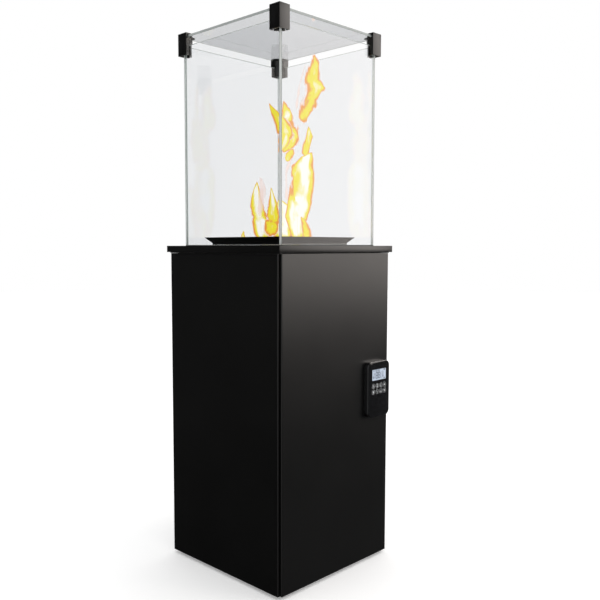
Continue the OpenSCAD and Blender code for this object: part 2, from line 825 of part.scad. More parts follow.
module injector() {
    color(brass_tone) translate([0, 0, injector_low]) difference() {
        union() {
            cylinder(r = injector_hex_r, h = injector_hex_h, $fn = 6);
            cylinder(r = injector_r, h = injector_h);
        }
        translate([0, 0, -past]) cylinder(r = jet_r, h = injector_h + 2 * past);
    }
}

// Hose from the regulator to the valve: straight out, down to nothing tight, and up past the shelf
hose_path = [
    [reg_x, -reg_out, outlet_z], [reg_x, -reg_out - 12, outlet_z],
    [reg_x + 1, -reg_out - 28, outlet_z + 1], [reg_x + 6, -reg_out - 44, outlet_z + 5],
    [reg_x + 16, -reg_out - 60, outlet_z + 14], [reg_x + 27, -reg_out - 73, outlet_z + 28],
    [hose_x - 8, inlet_y + 12, outlet_z + 46], [hose_x - 2, inlet_y + 4, outlet_z + 64],
    [hose_x, inlet_y, outlet_z + 82], [hose_x, inlet_y, valve_mid_z - 40],
    [hose_x - 3, inlet_y, valve_mid_z - 25], [hose_x - 12, inlet_y, valve_mid_z - 12],
    [hose_x - 25, inlet_y, valve_mid_z - 3], [hose_x - 38, inlet_y, valve_mid_z],
    [inlet_end, inlet_y, valve_mid_z]];
hose_sides = 10;

function unit(v) = v / norm(v);
function along(p, i) = unit(p[min(i + 1, len(p) - 1)] - p[max(i - 1, 0)]);

// Rings of points round a path, each square to it
function rings(p, r) = [for (i = [0:len(p) - 1]) let (
    d = along(p, i),
    side = unit(cross(d, abs(d[0]) < 0.9 ? [1, 0, 0] : [0, 1, 0])),
    up = cross(side, d))
    for (k = [0:hose_sides - 1]) let (t = 360 * k / hose_sides) p[i] + r * (cos(t) * side + sin(t) * up)];

module gas_hose() {
    n = len(hose_path);
    caps = [[for (k = [hose_sides - 1:-1:0]) k], [for (k = [0:hose_sides - 1]) (n - 1) * hose_sides + k]];
    sides = [for (i = [0:n - 2], k = [0:hose_sides - 1])
        [i * hose_sides + k, i * hose_sides + (k + 1) % hose_sides,
            (i + 1) * hose_sides + (k + 1) % hose_sides, (i + 1) * hose_sides + k]];
    color([0.85, 0.4, 0.1]) polyhedron(rings(hose_path, hose_r), concat(caps, sides), convexity = 6);
}

// ---- Receiver ----

rec_size = [62, 78, 24];
rec_at = [-post_half + 12, shelf_front + 8, shelf_top];
rec_wall = 2;
cell_r = 7;
cell_l = 50;

module receiver_box() {
    color([0.12, 0.12, 0.13]) translate(rec_at) difference() {
        cube(rec_size);
        translate([rec_wall, rec_wall, rec_wall])
            cube([rec_size[0] - 2 * rec_wall, rec_size[1] - 2 * rec_wall, rec_size[2]]);
    }
}

module receiver_lid() {
    color([0.2, 0.2, 0.21]) translate(rec_at + [0, 0, rec_size[2]]) {
        cube([rec_size[0], rec_size[1], rec_wall]);
        translate([rec_wall + gap, rec_wall + gap, -3])
            cube([rec_size[0] - 2 * (rec_wall + gap), rec_size[1] - 2 * (rec_wall + gap), 3 + eps]);
    }
}

module receiver_batteries() {
    color([0.75, 0.55, 0.2]) for (i = [0:3])
        translate(rec_at + [rec_wall + cell_r + i * (2 * cell_r + 0.3), rec_wall + 8, rec_wall + cell_r])
            rotate([-90, 0, 0]) {
                cylinder(r = cell_r - 0.1, h = cell_l - 2);
                cylinder(r = 2.5, h = cell_l);
            }
}

// ---- Glass ----

pane_half = glass_w / 2;
pane_low = deck_top + gasket_t;
pane_top = pane_low + pane_h;
top_low = pane_top + exhaust_gap;
top_high = top_low + glass_t;
joint_gap = 0.5;                            // between the panes at the corners

module glass_gasket() {
    color([0.2, 0.2, 0.2]) difference() {
        translate([-pane_half, -pane_half, deck_top]) cube([glass_w, glass_w, gasket_t]);
        translate([-pane_half + glass_t, -pane_half + glass_t, deck_top - past])
            cube([glass_w - 2 * glass_t, glass_w - 2 * glass_t, gasket_t + 2 * past]);
    }
}

module glass_front() {
    color(glass_tone) translate([-pane_half, -pane_half, pane_low]) cube([glass_w, glass_t, pane_h]);
}

module glass_back() {
    mirror([0, 1, 0]) glass_front();
}

module glass_left() {
    l = glass_w - 2 * glass_t - 2 * joint_gap;
    color(glass_tone) translate([-pane_half, -l / 2, pane_low]) cube([glass_t, l, pane_h]);
}

module glass_right() {
    mirror([1, 0, 0]) glass_left();
}

module glass_top() {
    color(glass_tone) translate([-top_w / 2, -top_w / 2, top_low]) cube([top_w, top_w, glass_t]);
}

// ---- Glass brackets ----

bracket_half = pane_half + bracket_out;
bracket_high = top_high + bracket_cap;
bracket_low = bracket_high - bracket_h;
lip_cut = 4;                                // chamfer left on the lip's corner
notch = [3, 3, 2];                          // small notches in the bracket's inner edges
notch_down = [9, 19];                       // their distances below the lip

// A square in plan with its inner corner chamfered; x and y run inwards from the outer corner
module corner_square(w, cut) {
    polygon([[0, 0], [w, 0], [w, w - cut], [w - cut, w], [0, w]]);
}

// Bracket drawn from its outer lower corner, x and y running inwards
module bracket_shape() {
    wall = bracket_wall;
    w = bracket_w;
    inner_cut = bracket_cut - wall * (2 - sqrt(2));
    lip_z = top_low - bracket_lip - bracket_low;
    slot_low = bracket_out - gap;
    slot = glass_t + 2 * gap;
    difference() {
        union() {
            linear_extrude(lip_z + eps) corner_square(w, bracket_cut);
            translate([0, 0, lip_z]) linear_extrude(bracket_lip) corner_square(w, lip_cut);
            translate([0, 0, lip_z]) linear_extrude(bracket_h - lip_z) difference() {
                square(w);
                translate([wall, wall]) square(w);
            }
            translate([0, 0, bracket_h - bracket_cap])
                linear_extrude(bracket_cap) corner_square(w, bracket_cut);
        }
        translate([wall, wall, -past]) linear_extrude(lip_z + past)
            corner_square(w - 2 * wall, inner_cut);
        for (m = [0, 1]) mirror([m, -m, 0]) {
            translate([w - wall - 1, slot_low, -past])
                cube([wall + 2, slot, pane_top - bracket_low + 1 + gap]);
            for (z = notch_down) translate([w - notch[0], w - bracket_cut - notch[1] / 2, lip_z - z])
                cube(notch + [past, 0, 0]);
        }
    }
}

module bracket_at(sx, sy) {
    in_quarter(sx, sy) translate([bracket_half, bracket_half, bracket_low])
        rotate([0, 0, 180]) children();
}

module bracket(sx, sy) {
    color(black_coat) bracket_at(sx, sy) bracket_shape();
}

pad_l = 12;
pad_h = 14;

module bracket_pads() {
    color([0.25, 0.25, 0.25]) for (sx = [-1, 1], sy = [-1, 1]) bracket_at(sx, sy)
        for (m = [0, 1]) mirror([m, -m, 0])
            translate([bracket_out + 4, bracket_wall, 5])
                cube([pad_l, bracket_out - bracket_wall, pad_h]);
}

// ---- Handset ----

hs_air = 0.3;                               // between the handset and the panel
hs_rim = 2.5;                               // depth of the metal rim
hs_face = 2;                                // thickness of the front glass
hs_body = hs_t - hs_rim - hs_face;          // depth of the back shell
cover_w = 40;
cover_top = -10;                            // upper end of the battery cover
cover_t = 1.5;
grip_l = 12;                                // grip lines on the battery cover
grip_in = 10;
slack = 0.3;                                // round the battery cover
magnet_r = 7;
magnet_t = 2;
magnet_x = 18;                              // from the handset's middle line
magnet_in = 34;                             // from its upper end
cell_small_r = 5;
cell_small_l = 44;

// Handset pieces are drawn lying on their back, their length along Y, then stood on the panel
module parked() {
    translate([half + hs_air, hs_y, hs_z]) rotate([90, 0, 90]) children();
}

// Outline of the handset, drawn in by a margin
module hs_outline(margin) {
    w = hs_w - 2 * margin;
    h = hs_h - 2 * margin;
    r = hs_r - margin;
    square([w, h - 2 * r], center = true);
    square([w - 2 * r, h], center = true);
    for (sx = [-1, 1], sy = [-1, 1]) translate([sx * (w / 2 - r), sy * (h / 2 - r)]) circle(r = r);
}

module handset_back() {
    color([0.1, 0.1, 0.11]) parked() difference() {
        union() {
            difference() {
                linear_extrude(hs_body) hs_outline(0);
                translate([0, 0, hs_wall]) linear_extrude(hs_body) hs_outline(hs_wall);
            }
            for (s = [-1, 1], y = [6, hs_h / 2 - 12])
                translate([s * (hs_w / 2 - board_in - 8), y, hs_wall - eps])
                    cylinder(r = board_post_r, h = board_z - hs_wall + eps);
        }
        translate([-cover_w / 2 - slack, -hs_h / 2 - past, -past])
            cube([cover_w + 2 * slack, hs_h / 2 + 1 + cover_top + slack, 1 + cover_t + 0.1]);
        translate([-cover_w / 2 - slack, -hs_h / 2 + hs_wall, -past])
            cube([cover_w + 2 * slack, hs_h / 2 - hs_wall + cover_top + slack, hs_wall + 2]);
    }
}

module handset_cover() {
    color([0.13, 0.13, 0.14]) parked() difference() {
        translate([-cover_w / 2, -hs_h / 2, 0])
            cube([cover_w, hs_h / 2 + cover_top, cover_t]);
        for (i = [0:2]) translate([-grip_l / 2, cover_top - grip_in - 3 * i, -past])
            cube([grip_l, 1.2, past + 0.5]);
    }
}

module handset_rim() {
    color([0.8, 0.8, 0.82]) parked() translate([0, 0, hs_body]) linear_extrude(hs_rim)
        difference() {
            hs_outline(0);
            hs_outline(hs_wall);
        }
}

module handset_glass() {
    color([0.04, 0.04, 0.05]) parked() translate([0, 0, hs_body + hs_rim])
        linear_extrude(hs_face) hs_outline(0);
}

board_z = 6;
board_t = 1.6;
board_post_r = 3;
board_in = 6;                               // from the handset's side to the board
lcd_w = 52;
lcd_h = 30;
lcd_in = 20;                                // from the handset's upper end to the display

// Circuit board with the display on it
module handset_board() {
    color([0.1, 0.3, 0.15]) parked() {
        translate([-hs_w / 2 + board_in, 0, board_z])
            cube([hs_w - 2 * board_in, hs_h / 2 - board_in - 2, board_t]);
        translate([-lcd_w / 2, hs_h / 2 - lcd_h - lcd_in, board_z + board_t - eps])
            cube([lcd_w, lcd_h, hs_body + hs_rim - board_z - board_t - 0.2]);
    }
}

module handset_batteries() {
    color([0.75, 0.55, 0.2]) parked() for (i = [-1, 1])
        translate([i * (cell_small_r + 3), -hs_h / 2 + 8, cover_t + 0.4 + cell_small_r])
            rotate([-90, 0, 0]) cylinder(r = cell_small_r, h = cell_small_l);
}

module handset_magnets() {
    color(steel) parked() for (s = [-1, 1])
        translate([s * magnet_x, hs_h / 2 - magnet_in, hs_wall]) cylinder(r = magnet_r, h = magnet_t);
}

base_pan();
post(-1, -1);  // post_front_left
post(1, -1);  // post_front_right
post(-1, 1);  // post_back_left
post(1, 1);  // post_back_right
top_ring();
panel_left();
panel_right();
panel_back();
deck_plate();
foot_nuts();
foot(-1, -1);  // foot_front_left
foot(1, -1);  // foot_front_right
foot(-1, 1);  // foot_back_left
foot(1, 1);  // foot_back_right
hinge_bracket_lower();
hinge_bracket_upper();
door_panel();
door_pivot_plates();
pivot_bushes();
door_catches();
strike_plates();
panel_screws();
deck_screws();
gas_bottle();
bottle_valve();
bottle_handwheel();
regulator();
gas_hose();
bottle_strap();
valve_shelf();
control_valve();
valve_knob();
gas_pipe();
injector();
burner_tray();
burner_box();
lava_stones();
pilot_assembly();
receiver_box();
receiver_lid();
receiver_batteries();
glass_gasket();
glass_front();
glass_back();
glass_left();
glass_right();
glass_top();
bracket(-1, -1);  // bracket_front_left
bracket(1, -1);  // bracket_front_right
bracket(-1, 1);  // bracket_back_left
bracket(1, 1);  // bracket_back_right
bracket_pads();
handset_back();
handset_cover();
handset_rim();
handset_glass();
handset_board();
handset_batteries();
handset_magnets();
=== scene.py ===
import math

import bmesh
import bpy
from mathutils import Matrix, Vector, noise


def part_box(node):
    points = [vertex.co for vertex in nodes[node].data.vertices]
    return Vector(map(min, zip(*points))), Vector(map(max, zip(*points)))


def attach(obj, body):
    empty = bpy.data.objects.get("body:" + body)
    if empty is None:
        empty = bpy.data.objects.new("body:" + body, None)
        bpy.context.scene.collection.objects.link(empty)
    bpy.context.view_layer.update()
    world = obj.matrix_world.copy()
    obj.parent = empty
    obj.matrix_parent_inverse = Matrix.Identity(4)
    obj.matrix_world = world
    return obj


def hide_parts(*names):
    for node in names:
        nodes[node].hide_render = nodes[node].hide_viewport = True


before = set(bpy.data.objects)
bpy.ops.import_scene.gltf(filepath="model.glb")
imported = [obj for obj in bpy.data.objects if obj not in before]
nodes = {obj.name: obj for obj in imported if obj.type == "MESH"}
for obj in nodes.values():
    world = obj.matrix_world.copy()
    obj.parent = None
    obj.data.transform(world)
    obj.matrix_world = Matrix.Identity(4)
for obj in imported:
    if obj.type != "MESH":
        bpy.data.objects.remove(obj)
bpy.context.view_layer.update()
scene = bpy.context.scene


# CAMERA
# It stands off the corner between the door and the right-hand side, level with the deck,
# and tips down a little, so that the deck's top is only just seen edge-on.
MM = 0.001
deck_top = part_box("deck_plate")[1]
corner_view = math.radians(45)
downward_tip = math.radians(4.45)
camera_distance = 1896.3 * MM
below_deck = 2.1 * MM
toward_camera = Vector((math.sin(corner_view), -math.cos(corner_view), 0))
bpy.ops.object.camera_add(
    location=toward_camera * camera_distance + Vector((0, 0, deck_top.z - below_deck)),
    rotation=(math.radians(90) - downward_tip, 0, corner_view),
)
camera = bpy.context.object
camera.name = "camera"
camera.data.lens = 44.27
camera.data.shift_x = 0.034
camera.data.shift_y = 0.0067
scene.camera = camera
scene.view_settings.view_transform = "Standard"


# STUDIO
# A white sweep and one large softbox behind the right-hand side, which lays the long
# grey fade on the side panel and leaves the door almost black.
def linear(hex_colour, alpha=1.0):
    """A colour written as sRGB hex, as the linear numbers that Blender works in."""
    parts = [int(hex_colour[i:i + 2], 16) / 255 for i in (1, 3, 5)]
    return [p / 12.92 if p <= 0.04045 else ((p + 0.055) / 1.055) ** 2.4 for p in parts] + [alpha]


def set_inputs(node, links):
    """Gives each input, by its name or number, a value, a hex colour, an output, or a node's first output."""
    for name, value in links.items():
        if isinstance(value, str):
            value = linear(value)
        if isinstance(value, bpy.types.Node):
            value = value.outputs[0]
        if isinstance(value, bpy.types.NodeSocket):
            node.id_data.links.new(value, node.inputs[name])
        else:
            node.inputs[name].default_value = value


def add(tree, kind, links=None, **settings):
    """Adds a shader node with its settings and links."""
    made = tree.nodes.new("ShaderNode" + kind)
    for name, value in settings.items():
        setattr(made, name, value)
    set_inputs(made, links or {})
    return made


def new_finish(name):
    """An empty material with its Principled shader, ready for a finish to be built on."""
    finish = bpy.data.materials.new(name)
    finish.use_nodes = True
    return finish, finish.node_tree, finish.node_tree.nodes["Principled BSDF"]


world = bpy.data.worlds.new("studio")
world.use_nodes = True
scene.world = world
sky = world.node_tree
sky.nodes.clear()
ray = add(sky, "LightPath")
direction = add(sky, "TexCoord")
axes = add(sky, "SeparateXYZ", {"Vector": direction.outputs["Generated"]})
# Polished faces see a dark room: two pale walls off to the camera's left and right, fading out below
# the horizon, and a dim one behind the softbox.
across = add(sky, "Math", {0: axes.outputs["X"], 1: axes.outputs["Y"]}, operation="MULTIPLY")
walls = add(sky, "MapRange", {"Value": across, "From Min": -0.12, "From Max": -0.5, "To Min": 0.02,
                              "To Max": 0.62})
height = add(sky, "MapRange", {"Value": axes.outputs["Z"], "From Min": -0.42, "From Max": 0.1,
                               "To Min": 0.3, "To Max": 1.0})
paled = add(sky, "Math", {0: walls, 1: height}, operation="MULTIPLY")
beside = add(sky, "Math", {0: axes.outputs["X"], 1: axes.outputs["Y"]}, operation="ADD")
far_wall = add(sky, "MapRange", {"Value": beside, "From Min": 0.4, "From Max": 1.1, "To Min": 0.0,
                                 "To Max": 0.036})
seen_in_gloss = add(sky, "Math", {0: paled, 1: far_wall}, operation="ADD")
room = add(sky, "Background", {"Color": "#ffffff", "Strength": seen_in_gloss})
white = add(sky, "Background", {"Color": "#ffffff", "Strength": 1.0})
mirrored = add(sky, "Math", {0: ray.outputs["Glossy Depth"], 1: 0.5}, operation="GREATER_THAN")
both = add(sky, "MixShader", {0: mirrored, 1: white, 2: room})
add(sky, "OutputWorld", {"Surface": both})

softbox_place = Vector((2100, 2100, 1880)) * MM
softbox_aim = Vector((0, 0, 1500)) * MM
softbox_width, softbox_height = 3000 * MM, 2750 * MM
bpy.ops.object.light_add(type="AREA", location=softbox_place)
softbox = bpy.context.object
softbox.name = "softbox"
softbox.rotation_euler = (softbox_aim - softbox_place).to_track_quat("-Z", "Y").to_euler()
softbox.data.shape = "RECTANGLE"
softbox.data.size = softbox_width
softbox.data.size_y = softbox_height
softbox.data.energy = 40
softbox.data.color = linear("#fff7f1")[:3]
softbox.visible_camera = False

floor_radius = 12000 * MM
bpy.ops.mesh.primitive_circle_add(vertices=96, radius=floor_radius, fill_type="NGON")
floor = bpy.context.object
floor.name = "studio_floor"
floor.visible_glossy = False
paper, tree, shader = new_finish("white_paper_sweep")
set_inputs(shader, {"Base Color": "#fbfbfb", "Roughness": 0.9, "Specular IOR Level": 0.1,
                    "Emission Color": "#ffffff", "Emission Strength": 0.2})
floor.data.materials.append(paper)


# FRAME OF THE CABINET
# The base pan, four corner posts and top ring: zinc-plated steel sheet, folded and spot-welded,
# never seen from outside with the door shut.
def zinc_plated_sheet():
    """Bright zinc on sheet steel: satin grey with faint cloudy crystals 8 mm wide and rolling lines."""
    finish, tree, shader = new_finish("zinc_plated_sheet")
    place = add(tree, "TexCoord").outputs["Object"]
    crystals = add(tree, "TexVoronoi", {"Vector": place, "Scale": 125, "Randomness": 1.0})
    clouds = add(tree, "TexNoise", {"Vector": place, "Scale": 9, "Detail": 4})
    shade = add(tree, "Mix", {0: crystals.outputs["Color"], 6: "#a9adb1", 7: "#c3c7ca"}, data_type="RGBA")
    stained = add(tree, "Mix", {0: clouds, 6: shade.outputs[2], 7: "#b7b6ad"}, data_type="RGBA")
    dull = add(tree, "MapRange", {"Value": clouds, "From Min": 0.3, "From Max": 0.7, "To Min": 0.3,
                                  "To Max": 0.46})
    lines = add(tree, "Mapping", {"Vector": place, "Scale": (1200, 1200, 14)})
    rolled = add(tree, "TexNoise", {"Vector": lines, "Scale": 1, "Detail": 2})
    bump = add(tree, "Bump", {"Height": rolled, "Strength": 0.06, "Distance": 0.0002})
    set_inputs(shader, {"Base Color": stained.outputs[2], "Metallic": 1.0, "Roughness": dull, "Normal": bump})
    return finish


def wear(node, finish):
    """Gives a CAD node a finish in place of its plain one."""
    for place in nodes[node].material_slots:
        place.material = finish


zinc = zinc_plated_sheet()
for node in ("base_pan", "post_front_left", "post_front_right", "post_back_left", "post_back_right",
             "top_ring", "hinge_bracket_lower", "hinge_bracket_upper", "door_pivot_plates"):
    wear(node, zinc)


# FEET
# Four screw-in levelling feet: a moulded nylon pad 40 mm across with a ribbed rim to turn it by,
# on an M8 zinc-plated stem held in a nut on the base pan.
def moulded(name, shade, highlight, roughness, grain_mm=0.5):
    """Injection-moulded plastic from a spark-eroded mould: one colour all through, with a fine even grain."""
    finish, tree, shader = new_finish(name)
    place = add(tree, "TexCoord").outputs["Object"]
    grain = add(tree, "TexNoise", {"Vector": place, "Scale": 1000 / grain_mm, "Detail": 1})
    flow = add(tree, "TexNoise", {"Vector": place, "Scale": 30, "Detail": 2})
    colour = add(tree, "Mix", {0: flow, 6: shade, 7: highlight}, data_type="RGBA")
    bump = add(tree, "Bump", {"Height": grain, "Strength": 0.25, "Distance": 0.0002})
    worn = add(tree, "MapRange", {"Value": flow, "To Min": roughness - 0.06, "To Max": roughness + 0.06})
    set_inputs(shader, {"Base Color": colour.outputs[2], "Roughness": worn, "Normal": bump})
    return finish


def machined(name, shade, highlight, roughness, lines=(60, 60, 1800)):
    """A metal turned or drawn on a machine: fine tool lines square to its axis, slightly cloudy."""
    finish, tree, shader = new_finish(name)
    place = add(tree, "TexCoord").outputs["Object"]
    tool = add(tree, "Mapping", {"Vector": place, "Scale": lines})
    marks = add(tree, "TexNoise", {"Vector": tool, "Scale": 1, "Detail": 2})
    cloud = add(tree, "TexNoise", {"Vector": place, "Scale": 60, "Detail": 3})
    colour = add(tree, "Mix", {0: cloud, 6: shade, 7: highlight}, data_type="RGBA")
    satin = add(tree, "MapRange", {"Value": marks, "To Min": roughness - 0.08, "To Max": roughness + 0.08})
    bump = add(tree, "Bump", {"Height": marks, "Strength": 0.12, "Distance": 0.0002})
    set_inputs(shader, {"Base Color": colour.outputs[2], "Metallic": 1.0, "Roughness": satin, "Normal": bump})
    return finish


def pick(piece, kind, test):
    """In edit mode, selects the faces, edges or corners whose middle and direction pass a test."""
    mesh = bmesh.from_edit_mesh(piece.data)
    for part in (*mesh.verts, *mesh.edges, *mesh.faces):
        part.select = False
    if kind == "faces":
        for face in mesh.faces:
            face.select_set(test(face.calc_center_median(), face.normal))
    elif kind == "edges":
        for edge in mesh.edges:
            ends = [corner.co for corner in edge.verts]
            edge.select_set(test((ends[0] + ends[1]) / 2, (ends[1] - ends[0]).normalized()))
    else:
        for corner in mesh.verts:
            corner.select_set(test(corner.co, corner.normal))
    bmesh.update_edit_mesh(piece.data)


def fit(piece, finish, body, slot, *stands_for):
    """Gives a piece its finish, puts it on its body, and hides the CAD nodes that it stands for."""
    piece.data.materials.clear()
    piece.data.materials.append(finish)
    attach(piece, body)
    if stands_for:
        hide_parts(*stands_for)


def tube(name, radius, low, high, middle, sides=48):
    """A closed cylinder primitive upright over a point, left in edit mode."""
    bpy.ops.object.select_all(action="DESELECT")
    bpy.ops.mesh.primitive_cylinder_add(vertices=sides, radius=radius, depth=high - low,
                                        location=(middle.x, middle.y, (low + high) / 2))
    piece = bpy.context.object
    piece.name = name
    bpy.ops.object.transform_apply(location=True, rotation=True, scale=True)
    bpy.ops.object.mode_set(mode="EDIT")
    bpy.ops.mesh.select_mode(type="FACE")
    return piece


foot_nylon = moulded("moulded_nylon_foot", "#17171a", "#212124", 0.55)
screw_zinc = machined("bright_zinc_screw", "#b4b7ba", "#cfd1d2", 0.3)
pad_height, pad_sides = 6 * MM, 48
collar_height = 5 * MM
flute_depth = 0.7 * MM
stem_radius, thread_pitch = 4 * MM, 1.25 * MM
thread_root = 0.84
for node in ("foot_front_left", "foot_front_right", "foot_back_left", "foot_back_right"):
    mark = node.split("_")[1][0] + node.split("_")[2][0]
    low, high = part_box(node)
    middle = (low + high) / 2
    pad = tube("foot_pad_" + mark, (high.x - low.x) / 2, 0, pad_height, middle, pad_sides)
    pick(pad, "faces", lambda at, out: abs(out.z) < 0.5
         and round(math.atan2(out.y, out.x) / math.tau * pad_sides - 0.5) % 2 == 0)
    bpy.ops.mesh.inset(thickness=flute_depth / 2, depth=-flute_depth, use_individual=True)
    pick(pad, "faces", lambda at, out: out.z > 0.9 and at.z > pad_height - 0.1 * MM)
    bpy.ops.mesh.inset(thickness=0.8 * MM, depth=0)
    bpy.ops.mesh.inset(thickness=7.2 * MM, depth=0)
    bpy.ops.mesh.extrude_region_move(TRANSFORM_OT_translate={"value": (0, 0, collar_height)})
    bpy.ops.transform.resize(value=(0.5, 0.5, 1), center_override=(middle.x, middle.y, pad_height))
    bpy.ops.object.mode_set(mode="OBJECT")
    bpy.ops.object.shade_smooth_by_angle(angle=math.radians(30))
    fit(pad, foot_nylon, "foot_" + mark, "foot_plastic", node)

    stem = tube("foot_stem_" + mark, stem_radius, pad_height + collar_height - 0.1 * MM, high.z, middle, 24)
    thread_start = pad_height + collar_height + 1 * MM
    for step in range(2 * int((high.z - thread_start) / thread_pitch)):
        bpy.ops.mesh.select_all(action="SELECT")
        cut = (middle.x, middle.y, thread_start + step * thread_pitch / 2)
        bpy.ops.mesh.bisect(plane_co=cut, plane_no=(0, 0, 1))
    pick(stem, "corners", lambda at, out: thread_start - 0.5 * MM < at.z < high.z - 0.1 * MM
         and round((at.z - thread_start) / (thread_pitch / 2)) % 2 == 1)
    bpy.ops.transform.resize(value=(thread_root, thread_root, 1), center_override=(middle.x, middle.y, 0))
    bpy.ops.object.mode_set(mode="OBJECT")
    bpy.ops.object.shade_smooth_by_angle(angle=math.radians(25))
    fit(stem, screw_zinc, "foot_" + mark, "zinc_screw")
for node in ("foot_nuts", "panel_screws", "deck_screws", "strike_plates"):
    wear(node, screw_zinc)


# POWDER COAT
# Every outer sheet is sprayed with black polyester powder and baked: a semi-gloss skin with a slight
# orange peel, which blurs what it mirrors. The real peel is 1 to 2 mm wide, and is drawn 3 mm wide to show.
def black_powder_coat():
    """Baked polyester powder: near black, with peel and grain under a thin clear-looking skin of gloss."""
    finish, tree, shader = new_finish("black_powder_coat")
    place = add(tree, "TexCoord").outputs["Object"]
    peel = add(tree, "TexNoise", {"Vector": place, "Scale": 330, "Detail": 2, "Roughness": 0.45})
    grain = add(tree, "TexNoise", {"Vector": place, "Scale": 1500, "Detail": 1})
    drift = add(tree, "TexNoise", {"Vector": place, "Scale": 5, "Detail": 3, "Roughness": 0.55})
    skin = add(tree, "Math", {0: grain, 1: 0.25, 2: peel}, operation="MULTIPLY_ADD")
    bump = add(tree, "Bump", {"Height": skin, "Strength": 0.12, "Distance": 0.0004})
    dull = add(tree, "MapRange", {"Value": drift, "From Min": 0.3, "From Max": 0.7, "To Min": 0.29,
                                  "To Max": 0.37})
    colour = add(tree, "Mix", {0: drift, 6: "#020202", 7: "#040404"}, data_type="RGBA")
    set_inputs(shader, {"Base Color": colour.outputs[2], "Roughness": dull, "Normal": bump, "IOR": 1.52,
                        "Coat Weight": 0.9, "Coat Roughness": 0.3, "Coat IOR": 1.5})
    return finish


black = black_powder_coat()
for node in ("panel_left", "panel_right", "panel_back", "door_panel"):
    wear(node, black)


# DOOR FITTINGS
# Turned nylon bushes in the door's pivot plates, and two magnetic catches in black plastic cases
# on the free side's post, each with a plated strike plate on the door.
def alone(piece):
    """Selects one piece and nothing else."""
    bpy.ops.object.select_all(action="DESELECT")
    piece.select_set(True)
    bpy.context.view_layer.objects.active = piece


def eased(node, name, radius, segments=2):
    """A piece made from a copy of a CAD node, its triangles merged to faces and its sharp edges rounded."""
    piece = bpy.data.objects.new(name, nodes[node].data.copy())
    scene.collection.objects.link(piece)
    alone(piece)
    bpy.ops.object.mode_set(mode="EDIT")
    bpy.ops.mesh.select_all(action="SELECT")
    bpy.ops.mesh.remove_doubles(threshold=0.002 * MM)
    bpy.ops.mesh.dissolve_limited(angle_limit=math.radians(2))
    bpy.ops.object.mode_set(mode="OBJECT")
    rounding = piece.modifiers.new("rounding", "BEVEL")
    rounding.width = radius
    rounding.segments = segments
    rounding.limit_method = "ANGLE"
    rounding.angle_limit = math.radians(35)
    rounding.use_clamp_overlap = True
    bpy.ops.object.modifier_apply(modifier="rounding")
    bpy.ops.object.shade_smooth_by_angle(angle=math.radians(32))
    return piece


wear("pivot_bushes", moulded("turned_nylon", "#c9c4b4", "#ddd8ca", 0.45))
catch_case = moulded("moulded_catch_case", "#1c1c1d", "#262627", 0.5)
fit(eased("door_catches", "magnetic_catches", 1.0 * MM), catch_case, "cabinet", "catch_plastic",
    "door_catches")


# DECK AND BURNER TRAY
# The deck is a folded lid whose machine bends are about 0.8 mm round, and the tray a flared square funnel
# under it, both powder-coated. A strip of black foam in the lid rests on the panels and keeps out draughts.
def block(name, low, high):
    """A box primitive between two corners, with its place in its mesh, left in edit mode."""
    bpy.ops.object.select_all(action="DESELECT")
    bpy.ops.mesh.primitive_cube_add(size=1, location=(low + high) / 2)
    piece = bpy.context.object
    piece.name = name
    piece.scale = high - low
    bpy.ops.object.transform_apply(location=True, rotation=True, scale=True)
    bpy.ops.object.mode_set(mode="EDIT")
    bpy.ops.mesh.select_mode(type="FACE")
    return piece


fit(eased("deck_plate", "folded_deck", 0.8 * MM), black, "cabinet", "black_powder_coat", "deck_plate")
fit(eased("burner_tray", "flared_tray", 0.5 * MM), black, "cabinet", "black_powder_coat", "burner_tray")
foam_reach, foam_wall, foam_gap = 198 * MM, 5 * MM, 0.5 * MM
deck_thickness = 2 * MM
foam = block("deck_foam_strip", Vector((-foam_reach, -foam_reach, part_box("door_panel")[1].z + foam_gap)),
             Vector((foam_reach, foam_reach, deck_top.z - deck_thickness - foam_gap)))
pick(foam, "faces", lambda at, out: abs(out.z) > 0.9)
bpy.ops.mesh.inset(thickness=foam_wall, depth=0, use_boundary=True)
bpy.ops.mesh.bridge_edge_loops()
bpy.ops.object.mode_set(mode="OBJECT")
fit(foam, moulded("closed_cell_foam", "#141414", "#202020", 0.9, 0.8), "cabinet", "silicone")


# BURNER AND PILOT
# A box of thin stainless steel with gas slots in its top, and the pilot tube with its spark rod
# at the back of the tray, all tinted by the flame.
def heated_stainless():
    """Brushed stainless steel with fine lines along X, tinted straw and then blue where it runs hottest."""
    finish, tree, shader = new_finish("brushed_stainless_heat_tinted")
    place = add(tree, "TexCoord").outputs["Object"]
    brushing = add(tree, "Mapping", {"Vector": place, "Scale": (25, 2200, 2200)})
    lines = add(tree, "TexNoise", {"Vector": brushing, "Scale": 1, "Detail": 3})
    heat = add(tree, "TexNoise", {"Vector": place, "Scale": 16, "Detail": 2})
    straw = add(tree, "MapRange", {"Value": heat, "From Min": 0.35, "From Max": 0.6})
    blue = add(tree, "MapRange", {"Value": heat, "From Min": 0.55, "From Max": 0.75})
    warm = add(tree, "Mix", {0: straw, 6: "#b9b6b0", 7: "#a88a5c"}, data_type="RGBA")
    tint = add(tree, "Mix", {0: blue, 6: warm.outputs[2], 7: "#5d6480"}, data_type="RGBA")
    satin = add(tree, "MapRange", {"Value": lines, "To Min": 0.26, "To Max": 0.44})
    bump = add(tree, "Bump", {"Height": lines, "Strength": 0.1, "Distance": 0.0002})
    set_inputs(shader, {"Base Color": tint.outputs[2], "Metallic": 1.0, "Roughness": satin, "Normal": bump})
    return finish


stainless = heated_stainless()
fit(eased("burner_box", "slotted_burner", 0.3 * MM, 1), stainless, "cabinet", "stainless", "burner_box")
fit(eased("pilot_assembly", "pilot_and_spark_rod", 0.3 * MM, 1), stainless, "cabinet", "stainless",
    "pilot_assembly")


